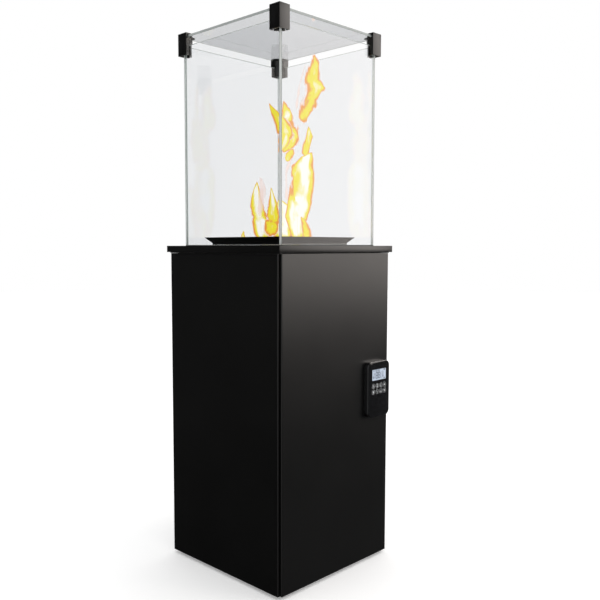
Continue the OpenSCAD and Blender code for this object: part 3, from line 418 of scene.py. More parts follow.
# LAVA STONES
# Broken lumps of basalt lava, each up to 34 mm long, tipped loose onto the burner in two layers.
# They are charcoal grey, full of gas bubbles 1 to 4 mm wide, and dusted brown in patches.
def joined(parts, name):
    """Joins several pieces into one and names it."""
    alone(parts[0])
    for part in parts:
        part.select_set(True)
    bpy.ops.object.join()
    whole = bpy.context.object
    whole.name = name
    return whole


def lava():
    """Broken lava: charcoal, gritty and quite matt, with the pits where it had gas bubbles darkened by
    painted shade.
    """
    finish, tree, shader = new_finish("porous_basalt_lava")
    place = add(tree, "TexCoord").outputs["Object"]
    bubbles = add(tree, "TexVoronoi", {"Vector": place, "Scale": 330, "Randomness": 1.0})
    bubble_pits_and_painted_shade = add(tree, "MapRange", {"Value": bubbles.outputs["Distance"], "From Min": 0.05, "From Max": 0.42})
    grit = add(tree, "TexNoise", {"Vector": place, "Scale": 700, "Detail": 3})
    patches = add(tree, "TexNoise", {"Vector": place, "Scale": 45, "Detail": 4})
    dusty = add(tree, "MapRange", {"Value": patches, "From Min": 0.45, "From Max": 0.62})
    stone = add(tree, "Mix", {0: dusty, 6: "#262422", 7: "#423a34"}, data_type="RGBA")
    # Painted shade: the bubble pits go to near black, standing in for the shade inside them.
    dark = add(tree, "Mix", {0: bubble_pits_and_painted_shade, 6: "#0b0a0a", 7: stone.outputs[2]}, data_type="RGBA")
    surface = add(tree, "Math", {0: grit, 1: 0.35, 2: bubble_pits_and_painted_shade}, operation="MULTIPLY_ADD")
    bump = add(tree, "Bump", {"Height": surface, "Strength": 0.8, "Distance": 0.0009})
    set_inputs(shader, {"Base Color": dark.outputs[2], "Roughness": 0.93, "Normal": bump,
                        "Specular IOR Level": 0.25})
    return finish


stone_low, stone_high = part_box("lava_stones")
stone_reach = 16.4 * MM
stone_pitch = 42 * MM
stones = []
for rows, layer_height in ((5, stone_low.z + stone_reach), (4, stone_high.z - stone_reach + 1.2 * MM)):
    for i in range(rows):
        for j in range(rows):
            count = len(stones)
            turn = Vector(((count * 2.4) % 6.28, (count * 1.7) % 6.28, (count * 3.9) % 6.28))
            centre = (rows - 1) / 2
            middle = Vector(((i - centre) * stone_pitch, (j - centre) * stone_pitch, layer_height))
            bpy.ops.object.select_all(action="DESELECT")
            bpy.ops.mesh.primitive_ico_sphere_add(subdivisions=4, radius=stone_reach, location=middle,
                                                  rotation=turn)
            lump = bpy.context.object
            lump.scale = (1.0, 0.8 + 0.05 * (count % 4), 0.74 + 0.06 * (count % 3))
            bpy.ops.object.transform_apply(location=True, rotation=True, scale=True)
            for corner in lump.data.vertices:
                out = corner.co - middle
                facets = noise.noise(corner.co * 62 + turn * 3)
                bite = noise.noise(corner.co * 190 + turn)
                corner.co = middle + out * (0.92 + 0.3 * max(-0.5, min(0.24, facets)) + 0.09 * bite)
            stones.append(lump)
pile = joined(stones, "lava_pile")
bpy.ops.object.shade_smooth_by_angle(angle=math.radians(50))
fit(pile, lava(), "cabinet", "lava_stone", "lava_stones")


# GASKET AND GLASS
# Four side panes and a top pane of 6 mm toughened float glass, clear with a faint green in the depth.
# Their edges are ground flat with a 0.8 mm arris and polished, and read as thin grey-green lines.
# The top pane and its edges get darker copies of the same glass, as painted shade.
def silicone():
    """Matt moulded silicone rubber: near black, with a fine mould grain and a little dust."""
    finish, tree, shader = new_finish("moulded_silicone")
    place = add(tree, "TexCoord").outputs["Object"]
    grain = add(tree, "TexNoise", {"Vector": place, "Scale": 900, "Detail": 2})
    dust = add(tree, "TexNoise", {"Vector": place, "Scale": 40, "Detail": 3})
    colour = add(tree, "Mix", {0: dust, 6: "#222222", 7: "#343433"}, data_type="RGBA")
    bump = add(tree, "Bump", {"Height": grain, "Strength": 0.2, "Distance": 0.0003})
    set_inputs(shader, {"Base Color": colour.outputs[2], "Roughness": 0.75, "Normal": bump})
    return finish


def float_glass(name, tint):
    """Clear float glass, smooth to a mirror. Lamp light passes it freely, so it throws no dark shadow."""
    finish, tree, shader = new_finish(name)
    place = add(tree, "TexCoord").outputs["Object"]
    wipe = add(tree, "TexNoise", {"Vector": place, "Scale": 7, "Detail": 3})
    film = add(tree, "MapRange", {"Value": wipe, "From Min": 0.35, "From Max": 0.75, "To Min": 0.0,
                                  "To Max": 0.01})
    ray = add(tree, "LightPath")
    lamp = add(tree, "Math", {0: ray.outputs["Is Shadow Ray"], 1: ray.outputs["Is Diffuse Ray"]},
               operation="MAXIMUM")
    clear = add(tree, "BsdfTransparent", {"Color": "#f4f8f6"})
    both = add(tree, "MixShader", {0: lamp, 1: shader, 2: clear})
    set_inputs(tree.nodes["Material Output"], {"Surface": both})
    set_inputs(shader, {"Base Color": tint, "Roughness": film, "Specular IOR Level": 0.13,
                        "Transmission Weight": 1.0, "IOR": 1.46})
    return finish


def polished_edge(name, shade, highlight):
    """The ground and polished edge of the same glass: grey-green, half clear, with fine grinding lines."""
    finish, tree, shader = new_finish(name)
    place = add(tree, "TexCoord").outputs["Object"]
    lines = add(tree, "TexNoise", {"Vector": place, "Scale": 500, "Detail": 2})
    colour = add(tree, "Mix", {0: lines, 6: shade, 7: highlight}, data_type="RGBA")
    bump = add(tree, "Bump", {"Height": lines, "Strength": 0.05, "Distance": 0.0002})
    set_inputs(shader, {"Base Color": colour.outputs[2], "Roughness": 0.16, "Normal": bump,
                        "Transmission Weight": 0.45, "IOR": 1.46})
    return finish


pad_rubber = silicone()
wear("glass_gasket", pad_rubber)
side_glass = float_glass("toughened_float_glass", "#f8f9fa")
side_edge = polished_edge("polished_glass_edge", "#ccd1cf", "#e2e6e4")
# Painted shade: the top pane's glass and edge are darker copies of the side panes' glass.
top_glass = float_glass("toughened_glass_shaded_top_copy", "#f2f3f5")
top_edge = polished_edge("polished_edge_shaded_top_copy", "#b4bbb9", "#d3d8d6")
arris = 0.8 * MM
for node in ("glass_front", "glass_back", "glass_left", "glass_right", "glass_top"):
    low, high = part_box(node)
    pane = block(node.replace("glass", "pane"), low, high)
    thin = min(range(3), key=lambda axis: (high - low)[axis])
    bpy.ops.mesh.select_mode(type="EDGE")
    bpy.ops.mesh.select_all(action="SELECT")
    bpy.ops.mesh.bevel(offset=arris, segments=1, affect="EDGES")
    bpy.ops.object.mode_set(mode="OBJECT")
    sheet, edge = (top_glass, top_edge) if node == "glass_top" else (side_glass, side_edge)
    fit(pane, sheet, "cabinet", "clear_glass", node)
    pane.data.materials.append(edge)
    for face in pane.data.polygons:
        face.material_index = 0 if abs(face.normal[thin]) > 0.9 else 1


# GLASS BRACKETS
# Four clips folded from steel, powder-coated like the deck, each gripping two side panes and carrying
# the top pane on a lip. Silicone pads keep the metal off the glass.
for node in ("bracket_front_left", "bracket_front_right", "bracket_back_left", "bracket_back_right"):
    clip = eased(node, node.replace("bracket", "clip"), 0.5 * MM)
    fit(clip, black, "cabinet", "black_powder_coat", node)
wear("bracket_pads", pad_rubber)


# SHELF, CONTROL VALVE AND RECEIVER
# A zinc-plated shelf hangs under the deck with the die-cast control valve on it, its ribbed knob in front,
# the drawn aluminium pipe to a brass injector behind, and the radio receiver and its four cells beside it.
def blasted_casting(name, shade, highlight, roughness):
    """A die-cast metal, shot-blasted to an even matt grain about 0.6 mm across."""
    finish, tree, shader = new_finish(name)
    place = add(tree, "TexCoord").outputs["Object"]
    shot = add(tree, "TexVoronoi", {"Vector": place, "Scale": 1600}, feature="SMOOTH_F1")
    cloud = add(tree, "TexNoise", {"Vector": place, "Scale": 35, "Detail": 3})
    colour = add(tree, "Mix", {0: cloud, 6: shade, 7: highlight}, data_type="RGBA")
    bump = add(tree, "Bump", {"Height": shot.outputs["Distance"], "Strength": 0.3, "Distance": 0.0003})
    dull = add(tree, "MapRange", {"Value": cloud, "To Min": roughness - 0.06, "To Max": roughness + 0.06})
    set_inputs(shader, {"Base Color": colour.outputs[2], "Metallic": 0.9, "Roughness": dull, "Normal": bump})
    return finish


brass = machined("turned_brass", "#c29a4e", "#d2ae66", 0.26)
knob_plastic = moulded("moulded_knob", "#161617", "#1f1f20", 0.4)
fit(eased("valve_shelf", "hanging_shelf", 0.5 * MM), zinc, "cabinet", "zinc_sheet", "valve_shelf")
aluminium_casting = blasted_casting("blasted_aluminium_casting", "#a9a9a8", "#bcbcbb", 0.5)
fit(eased("control_valve", "die_cast_valve", 1.2 * MM), aluminium_casting, "cabinet", "valve_aluminium",
    "control_valve")
fit(eased("valve_knob", "ribbed_knob", 0.5 * MM), knob_plastic, "knob", "knob_plastic", "valve_knob")
low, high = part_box("valve_knob")
pointer_wide = 1.4 * MM
pointer = block("knob_pointer", Vector((-pointer_wide / 2, low.y - 0.15 * MM, (low.z + high.z) / 2 + 8 * MM)),
                Vector((pointer_wide / 2, low.y + 0.1 * MM, high.z - 4 * MM)))
bpy.ops.mesh.select_mode(type="EDGE")
pick(pointer, "edges", lambda at, along: abs(along.y) > 0.9)
bpy.ops.mesh.bevel(offset=0.5 * MM, segments=3, affect="EDGES")
bpy.ops.object.mode_set(mode="OBJECT")
fit(pointer, moulded("white_pad_print", "#dddddb", "#e8e8e6", 0.5), "knob", "knob_plastic")
wear("gas_pipe", machined("drawn_aluminium_tube", "#c6c7c8", "#d6d7d8", 0.28, (900, 20, 900)))
fit(eased("injector", "brass_injector", 0.3 * MM, 1), brass, "cabinet", "brass", "injector")
case_plastic = moulded("moulded_abs_case", "#222224", "#2c2c2e", 0.5)
fit(eased("receiver_box", "receiver_case", 0.8 * MM), case_plastic, "cabinet", "receiver_plastic",
    "receiver_box")
fit(eased("receiver_lid", "receiver_cover", 0.8 * MM), case_plastic, "cabinet", "receiver_plastic",
    "receiver_lid")


def cell_sleeve(name, axis, split):
    """A dry cell's printed plastic sleeve: a black body with a copper-coloured band at its plus end."""
    finish, tree, shader = new_finish(name)
    place = add(tree, "TexCoord").outputs["Object"]
    axes = add(tree, "SeparateXYZ", {"Vector": place})
    band = add(tree, "Math", {0: axes.outputs[axis], 1: split}, operation="GREATER_THAN")
    scuff = add(tree, "TexNoise", {"Vector": place, "Scale": 200, "Detail": 2})
    colour = add(tree, "Mix", {0: band, 6: "#1b1b1d", 7: "#b9783a"}, data_type="RGBA")
    rubbed = add(tree, "MapRange", {"Value": scuff, "To Min": 0.2, "To Max": 0.4})
    set_inputs(shader, {"Base Color": colour.outputs[2], "Roughness": rubbed})
    return finish


low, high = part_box("receiver_batteries")
wear("receiver_batteries", cell_sleeve("receiver_cell_sleeve", "Y", low.y + 0.68 * (high.y - low.y)))


# GAS BOTTLE, REGULATOR, HOSE AND STRAP
# An 11 kg steel gas bottle in gloss red enamel, pressed in two halves and welded round the middle. A brass
# valve with a moulded wheel, a zinc regulator and an orange rubber hose feed the shelf above.
def bottle_enamel():
    """Gloss red enamel with a little peel, faded in places and knocked through to dull steel in a few."""
    finish, tree, shader = new_finish("gloss_red_enamel_on_steel")
    place = add(tree, "TexCoord").outputs["Object"]
    peel = add(tree, "TexNoise", {"Vector": place, "Scale": 350, "Detail": 2})
    knocks = add(tree, "TexNoise", {"Vector": place, "Scale": 28, "Detail": 6, "Roughness": 0.75})
    bare = add(tree, "MapRange", {"Value": knocks, "From Min": 0.685, "From Max": 0.7})
    faded = add(tree, "Mix", {0: knocks, 6: "#8a1a12", 7: "#a32419"}, data_type="RGBA")
    colour = add(tree, "Mix", {0: bare, 6: faded.outputs[2], 7: "#4f4a47"}, data_type="RGBA")
    dull = add(tree, "MapRange", {"Value": bare, "To Min": 0.24, "To Max": 0.6})
    bump = add(tree, "Bump", {"Height": peel, "Strength": 0.1, "Distance": 0.0004})
    set_inputs(shader, {"Base Color": colour.outputs[2], "Roughness": dull, "Normal": bump})
    return finish


enamel = bottle_enamel()
wear("gas_bottle", enamel)
low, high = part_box("gas_bottle")
bottle_radius = (high.x - low.x) / 2
weld_height = 296 * MM
bpy.ops.object.select_all(action="DESELECT")
bpy.ops.mesh.primitive_torus_add(major_radius=bottle_radius - 0.2 * MM, minor_radius=1.6 * MM,
                                 major_segments=180, minor_segments=8, location=(0, 0, weld_height))
weld = bpy.context.object
weld.name = "bottle_weld_bead"
bpy.ops.object.transform_apply(location=True, rotation=True, scale=True)
for corner in weld.data.vertices:
    turn = math.atan2(corner.co.y, corner.co.x)
    ripple = 1.9 + 0.25 * math.sin(turn * 60)
    wander = 0.5 * MM * math.sin(turn * 7)
    corner.co.z = weld_height + (corner.co.z - weld_height) * ripple + wander
bpy.ops.object.shade_smooth_by_angle(angle=math.radians(60))
fit(weld, enamel, "cabinet", "bottle_paint")
fit(eased("bottle_valve", "brass_bottle_valve", 0.6 * MM), brass, "cabinet", "brass", "bottle_valve")
fit(eased("bottle_handwheel", "lobed_handwheel", 1.5 * MM, 3), knob_plastic, "handwheel", "knob_plastic",
    "bottle_handwheel")
zinc_casting = blasted_casting("matt_zinc_casting", "#8f9092", "#a3a4a6", 0.45)
fit(eased("regulator", "zinc_regulator", 0.8 * MM), zinc_casting, "cabinet", "zinc_casting", "regulator")


def hose_rubber():
    """Smooth extruded orange rubber gas hose, a little dusty, with a faint pebbling 2 mm wide."""
    finish, tree, shader = new_finish("extruded_orange_rubber")
    place = add(tree, "TexCoord").outputs["Object"]
    pebbles = add(tree, "TexVoronoi", {"Vector": place, "Scale": 520})
    dust = add(tree, "TexNoise", {"Vector": place, "Scale": 50, "Detail": 4})
    colour = add(tree, "Mix", {0: dust, 6: "#b04a16", 7: "#bf6430"}, data_type="RGBA")
    bump = add(tree, "Bump", {"Height": pebbles.outputs["Distance"], "Strength": 0.15, "Distance": 0.0003})
    set_inputs(shader, {"Base Color": colour.outputs[2], "Roughness": 0.5, "Normal": bump})
    return finish


hose_points = [(68, -41, 567), (68, -53, 567), (69, -69, 568), (74, -85, 572), (84, -101, 581),
               (95, -114, 595),
               (104, -123, 613), (110, -131, 631), (112, -135, 649), (112, -135, 669), (109, -135, 684),
               (100, -135, 697), (87, -135, 706), (74, -135, 709), (62, -135, 709)]
line = bpy.data.curves.new("gas_hose_line", "CURVE")
line.dimensions = "3D"
hose_radius = 4.95 * MM
line.bevel_depth = hose_radius
line.bevel_resolution = 5
line.resolution_u = 6
line.use_fill_caps = True
route = line.splines.new("BEZIER")
route.bezier_points.add(len(hose_points) - 1)
for knot, point in zip(route.bezier_points, hose_points):
    knot.co = Vector(point) * MM
    knot.handle_left_type = knot.handle_right_type = "AUTO"
hose = bpy.data.objects.new("orange_gas_hose", line)
scene.collection.objects.link(hose)
alone(hose)
bpy.ops.object.convert(target="MESH")
hose = bpy.context.object
bpy.ops.object.shade_smooth_by_angle(angle=math.radians(60))
fit(hose, hose_rubber(), "cabinet", "hose_rubber", "gas_hose")
ferrule_radius, ferrule_wall, crimped = 6 * MM, 0.5 * MM, 0.9
for name, start, end in (("hose_ferrule_lower", (68, -42, 567), (68, -60, 567)),
                         ("hose_ferrule_upper", (63, -135, 709), (80, -135, 708.4))):
    start, end = Vector(start) * MM, Vector(end) * MM
    run = end - start
    along = run.normalized()
    bpy.ops.object.select_all(action="DESELECT")
    bpy.ops.mesh.primitive_cylinder_add(vertices=32, radius=ferrule_radius, depth=run.length,
                                        location=(start + end) / 2, end_fill_type="NOTHING",
                                        rotation=run.to_track_quat("Z", "Y").to_euler())
    ferrule = bpy.context.object
    ferrule.name = name
    bpy.ops.object.transform_apply(location=True, rotation=True, scale=True)
    bpy.ops.object.mode_set(mode="EDIT")
    for share in (0.15, 0.25, 0.35, 0.45, 0.55, 0.65, 0.75, 0.85):
        bpy.ops.mesh.select_all(action="SELECT")
        bpy.ops.mesh.bisect(plane_co=start + run * share, plane_no=along)
    pick(ferrule, "corners",
         lambda at, out: round((at - start).dot(along) / run.length, 2) in (0.25, 0.35, 0.65, 0.75))
    for corner in bmesh.from_edit_mesh(ferrule.data).verts:
        if corner.select:
            centre = start + along * (corner.co - start).dot(along)
            corner.co = centre + (corner.co - centre) * crimped
    bpy.ops.object.mode_set(mode="OBJECT")
    wall = ferrule.modifiers.new("wall", "SOLIDIFY")
    wall.thickness = ferrule_wall
    wall.offset = 1
    bpy.ops.object.modifier_apply(modifier="wall")
    bpy.ops.object.shade_smooth_by_angle(angle=math.radians(30))
    fit(ferrule, brass, "cabinet", "brass")


def webbing():
    """Woven polyester strap, its ribs drawn coarse to show: 3.2 mm apart across it, 2.6 mm along it. Its
    colour carries painted shade in the grooves and a painted highlight on the crowns.
    """
    finish, tree, shader = new_finish("woven_polyester_webbing")
    weave = add(tree, "UVMap", uv_map="strap_length").outputs[0]
    ribs = add(tree, "TexWave", {"Vector": weave, "Scale": 98, "Distortion": 0.4}, bands_direction="X")
    yarns = add(tree, "TexWave", {"Vector": weave, "Scale": 120, "Distortion": 0.2}, bands_direction="Y")
    weave_relief_and_painted_shade = add(tree, "Math", {0: ribs.outputs["Fac"], 1: yarns.outputs["Fac"]}, operation="MULTIPLY")
    # Painted shade and highlight: the colour follows the weave's relief, dark in the grooves and lighter on
    # the crowns.
    colour = add(tree, "Mix", {0: weave_relief_and_painted_shade, 6: "#17171a", 7: "#3b3b40"}, data_type="RGBA")
    bump = add(tree, "Bump", {"Height": weave_relief_and_painted_shade, "Strength": 0.6, "Distance": 0.0006})
    set_inputs(shader, {"Base Color": colour.outputs[2], "Roughness": 0.8, "Normal": bump,
                        "Sheen Weight": 0.25})
    return finish


low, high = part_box("bottle_strap")
middle = (low.z + high.z) / 2
half_width = (high.z - low.z) / 2
bend = bottle_radius + 1.3 * MM
quarter, straight = bend * math.pi / 2, high.y - 1 * MM
half_run = quarter + straight + high.x - bend - 1 * MM
bpy.ops.object.select_all(action="DESELECT")
bpy.ops.mesh.primitive_grid_add(x_subdivisions=240, y_subdivisions=2, size=2)
strap = bpy.context.object
strap.name = "strap_webbing_band"
lengths = strap.data.uv_layers.new(name="strap_length")
for corner in strap.data.loops:
    at = strap.data.vertices[corner.vertex_index].co
    lengths.data[corner.index].uv = (at.x * half_run, at.y * half_width)
for corner in strap.data.vertices:
    run, side = abs(corner.co.x) * half_run, math.copysign(1, corner.co.x)
    turn = min(run, quarter) / bend
    back = min(max(run - quarter, 0), straight)
    hook = max(run - quarter - straight, 0)
    corner.co = (side * (bend * math.sin(turn) + hook), back - bend * math.cos(turn),
                 middle + corner.co.y * half_width)
alone(strap)
bpy.ops.object.mode_set(mode="EDIT")
bpy.ops.mesh.select_all(action="SELECT")
bpy.ops.mesh.normals_make_consistent(inside=False)
bpy.ops.object.mode_set(mode="OBJECT")
thickness = strap.modifiers.new("thickness", "SOLIDIFY")
thickness.thickness = 1.6 * MM
thickness.offset = 0
bpy.ops.object.modifier_apply(modifier="thickness")
bpy.ops.object.shade_smooth_by_angle(angle=math.radians(40))
fit(strap, webbing(), "cabinet", "strap_webbing", "bottle_strap")
buckle_wide, buckle_tall, buckle_deep = 48 * MM, 34 * MM, 7 * MM
buckle = block("strap_buckle", Vector((-buckle_wide / 2, -bend - buckle_deep, middle - buckle_tall / 2)),
               Vector((buckle_wide / 2, -bend + 0.4 * MM, middle + buckle_tall / 2)))
pick(buckle, "faces", lambda at, out: out.y < -0.9)
bpy.ops.mesh.inset(thickness=4 * MM, depth=0)
bpy.ops.mesh.inset(thickness=1.5 * MM, depth=-2.5 * MM)
bpy.ops.mesh.select_mode(type="EDGE")
pick(buckle, "edges", lambda at, along: abs(along.y) > 0.9)
bpy.ops.mesh.bevel(offset=4 * MM, segments=4, affect="EDGES")
bpy.ops.object.mode_set(mode="OBJECT")
bpy.ops.object.shade_smooth_by_angle(angle=math.radians(35))
fit(buckle, blasted_casting("zinc_cam_buckle", "#77787a", "#8c8d8f", 0.4), "cabinet", "zinc_casting")


# HANDSET
# A pocket remote control parked on the right-hand side by two magnets: a gloss black ABS shell, a plated rim,
# and a black-backed glass front with a pale blue liquid crystal display and eight printed touch keys.
def gloss_black(name, shade, roughness):
    """Black that is polished or backed with black paint: deep and mirror-like, with hairline wipe marks."""
    finish, tree, shader = new_finish(name)
    place = add(tree, "TexCoord").outputs["Object"]
    streak = add(tree, "Mapping", {"Vector": place, "Scale": (60, 60, 12)})
    wipes = add(tree, "TexNoise", {"Vector": streak, "Scale": 3, "Detail": 5})
    film = add(tree, "MapRange", {"Value": wipes, "From Min": 0.4, "From Max": 0.7, "To Min": roughness,
                                  "To Max": roughness + 0.05})
    colour = add(tree, "Mix", {0: wipes, 6: shade, 7: "#101012"}, data_type="RGBA")
    set_inputs(shader, {"Base Color": colour.outputs[2], "Roughness": film, "Coat Weight": 1.0,
                        "Coat Roughness": 0.02})
    return finish


shell = gloss_black("gloss_moulded_abs", "#0c0c0d", 0.16)
fit(eased("handset_back", "handset_shell", 0.6 * MM), shell, "handset", "handset_plastic", "handset_back")
fit(eased("handset_cover", "handset_battery_door", 0.25 * MM, 1), shell, "battery_cover", "handset_plastic",
    "handset_cover")
chrome = machined("polished_chrome_plating", "#d5d7da", "#e2e3e5", 0.12, (300, 300, 300))
fit(eased("handset_rim", "handset_plated_rim", 0.4 * MM), chrome, "handset", "handset_chrome", "handset_rim")
backed_glass = gloss_black("black_backed_glass", "#050506", 0.03)
fit(eased("handset_glass", "handset_front_glass", 0.9 * MM, 3), backed_glass, "handset", "handset_front",
    "handset_glass")
wear("handset_magnets", screw_zinc)
low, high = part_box("handset_batteries")
wear("handset_batteries", cell_sleeve("handset_cell_sleeve", "Z", low.z + 0.68 * (high.z - low.z)))


def solder_mask():
    """Green solder mask over copper tracks about 1 mm wide, which stand out a shade lighter."""
    finish, tree, shader = new_finish("green_solder_mask")
    place = add(tree, "TexCoord").outputs["Object"]
    tracks = add(tree, "TexBrick", {"Vector": place, "Scale": 160, "Mortar Size": 0.08, "Color1": "#0f4a2a",
                                    "Color2": "#12552f", "Mortar": "#2c7a46"})
    set_inputs(shader, {"Base Color": tracks.outputs["Color"], "Roughness": 0.3})
    return finish


wear("handset_board", solder_mask())
low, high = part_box("handset_glass")
front = high.x
mid_y = (low.y + high.y) / 2
top_z = high.z
print_lift = 0.06 * MM
half_turn, eighth_turn = math.pi, math.pi / 4


def printed(corners, radius, y, down, scale=(1, 1), turn=0.0, hole=0.0):
    """One patch of print on the handset's front: a regular shape, in millimetres right of its middle line
    and down from its top. The scale is across and up, and the hole is a share of the radius."""
    bpy.ops.object.select_all(action="DESELECT")
    bpy.ops.mesh.primitive_circle_add(vertices=corners, radius=1, fill_type="NGON")
    patch = bpy.context.object
    bpy.ops.object.mode_set(mode="EDIT")
    bpy.ops.mesh.select_all(action="SELECT")
    if hole:
        bpy.ops.mesh.inset(thickness=1 - hole, depth=0)
        bpy.ops.mesh.delete(type="ONLY_FACE")
        bpy.ops.mesh.select_all(action="SELECT")
    bpy.ops.mesh.extrude_region_move(TRANSFORM_OT_translate={"value": (0, 0, 1)})
    bpy.ops.object.mode_set(mode="OBJECT")
    for corner in patch.data.vertices:
        x, z = corner.co.x, corner.co.y
        x, z = x * math.cos(turn) - z * math.sin(turn), x * math.sin(turn) + z * math.cos(turn)
        right_of_middle, below_top = y + x * radius * scale[0], down - z * radius * scale[1]
        corner.co = (front + print_lift * corner.co.z, mid_y + right_of_middle * MM, top_z - below_top * MM)
    patch.data.materials.clear()
    alone(patch)
    bpy.ops.object.mode_set(mode="EDIT")
    bpy.ops.mesh.select_all(action="SELECT")
    bpy.ops.mesh.normals_make_consistent(inside=False)
    bpy.ops.object.mode_set(mode="OBJECT")
    return patch


def upright(y, down, wide, tall):
    """A printed rectangle, given by half its width and half its height, both times the root of two."""
    return printed(4, 1, y, down, (wide, tall), eighth_turn)


screen_half = Vector((0, 27.5, 13.5)) * MM
screen_middle = Vector((front, mid_y, top_z - 33 * MM))
screen = block("handset_display", screen_middle - screen_half - Vector((0.4, 0, 0)) * MM,
               screen_middle + screen_half + Vector((0.03, 0, 0)) * MM)
bpy.ops.mesh.select_mode(type="EDGE")
pick(screen, "edges", lambda at, along: abs(along.x) > 0.9)
bpy.ops.mesh.bevel(offset=0.8 * MM, segments=3, affect="EDGES")
bpy.ops.object.mode_set(mode="OBJECT")
# The display's backlight is a faint even glow under a pale blue, slightly clouded screen.
lcd, tree, shader = new_finish("backlit_liquid_crystal")
place = add(tree, "TexCoord").outputs["Object"]
cloud = add(tree, "TexNoise", {"Vector": place, "Scale": 60, "Detail": 1})
tone = add(tree, "Mix", {0: cloud, 6: "#a9b4c4", 7: "#b5c0d0"}, data_type="RGBA")
set_inputs(shader, {"Base Color": tone.outputs[2], "Roughness": 0.2,
                    "Emission Color": "#dfe9f6", "Emission Strength": 0.06})
fit(screen, lcd, "handset", "handset_front")


def seven_segments(y, down, size):
    """The figure 8 as seven bars, size being its height."""
    bar, wide, tall = size * 0.09, size * 0.26, size * 0.235
    bars = [printed(6, 1, y, down - at * size * 0.91, (wide, bar), half_turn / 2) for at in (-0.5, 0, 0.5)]
    for side in (-1, 1):
        bars += [printed(6, 1, y + side * wide, down - up * tall, (bar, tall)) for up in (-1, 1)]
    return bars


def four_pointed(y, down, radius, narrow):
    """A star with four points, as two crossed diamonds."""
    return [printed(4, radius, y, down, (narrow, 1)), printed(4, radius, y, down, (1, narrow))]


segments = []
for figure_y in (-9.3, 0.3):
    segments += seven_segments(figure_y, 34.6, 15.5)
for figure_y in (-13.2, -9.2, -3.6, 0.4):
    segments += seven_segments(figure_y, 22.8, 5)
colon = [printed(12, 0.35, -6.4, down) for down in (21.8, 24.2)]
battery = [upright(21.5, 22, 4.6, 1.9), upright(25.2, 22, 0.6, 1.0)]
thermometer = [printed(20, 2.1, 15.5, 38.6), upright(15.5, 31.5, 1.3, 8.6)]
hourglass = [printed(3, 2.5, -20, 29.6, (1, 0.8), half_turn), printed(3, 2.5, -20, 32.4, (1, 0.8))]
clock = [printed(24, 3, -22, 38.6, hole=0.35)]
cloud = [printed(24, 3.6, -22, 22.6, (1, 0.45), hole=0.7)]
segments += colon + battery + thermometer + hourglass + clock + cloud
segments += four_pointed(8.6, 40.5, 1.7, 0.45) + four_pointed(11, 43.6, 1.4, 0.45)
for flame_y, flame_r in ((18.6, 1.9), (21.2, 2.9), (24, 1.7)):
    segments.append(printed(3, flame_r, flame_y, 44.6 - flame_r / 2, (0.8, 1), hole=0.6))
for level in (27.2, 31.4, 35.6):
    segments.append(printed(16, 1.1, 10, level, hole=0.55))
digits = joined(segments, "handset_display_digits")
fit(digits, moulded("dark_liquid_crystal", "#13263a", "#1b3147", 0.35), "handset", "handset_front")

keys = []
for row, down in enumerate((61, 76)):
    for column in range(4):
        y = (column - 1.5) * 14.9
        keys.append(printed(40, 5.9, y, down, hole=0.93))
        if column == 3:
            keys.append(printed(3, 3.3, y, down, (0.85, 1), half_turn * row))
        elif (row, column) == (0, 0):
            # power
            keys += [printed(28, 2.6, y, down + 0.3, hole=0.76), upright(y, down - 1.7, 0.6, 2.4)]
        elif (row, column) == (0, 1):
            # hourglass
            keys.append(printed(3, 2.9, y, down - 1.9, (0.9, 0.8), half_turn))
            keys.append(printed(3, 2.9, y, down + 1.9, (0.9, 0.8)))
        elif (row, column) == (0, 2):
            # thermometer
            keys += [printed(20, 1.5, y, down + 2.6), upright(y, down - 0.8, 0.9, 4.2)]
        elif (row, column) == (1, 0):
            # lamp
            keys += [printed(24, 2.1, y, down - 0.5), upright(y, down + 2.6, 1.3, 0.9)]
        elif (row, column) == (1, 1):
            # stars
            keys += four_pointed(y - 1.1, down - 1.2, 2.0, 0.42)
            keys += four_pointed(y + 1.3, down + 1.6, 1.7, 0.42)
        else:
            # flames
            for flame_y, flame_r in ((-2.0, 1.5), (0, 2.5), (2.1, 1.4)):
                keys.append(printed(3, flame_r, y + flame_y, down + 2 - flame_r / 2, (0.75, 1)))
key_prints = joined(keys, "handset_key_prints")
fit(key_prints, moulded("white_screen_print", "#c9cbce", "#d6d8da", 0.4), "handset", "handset_front")
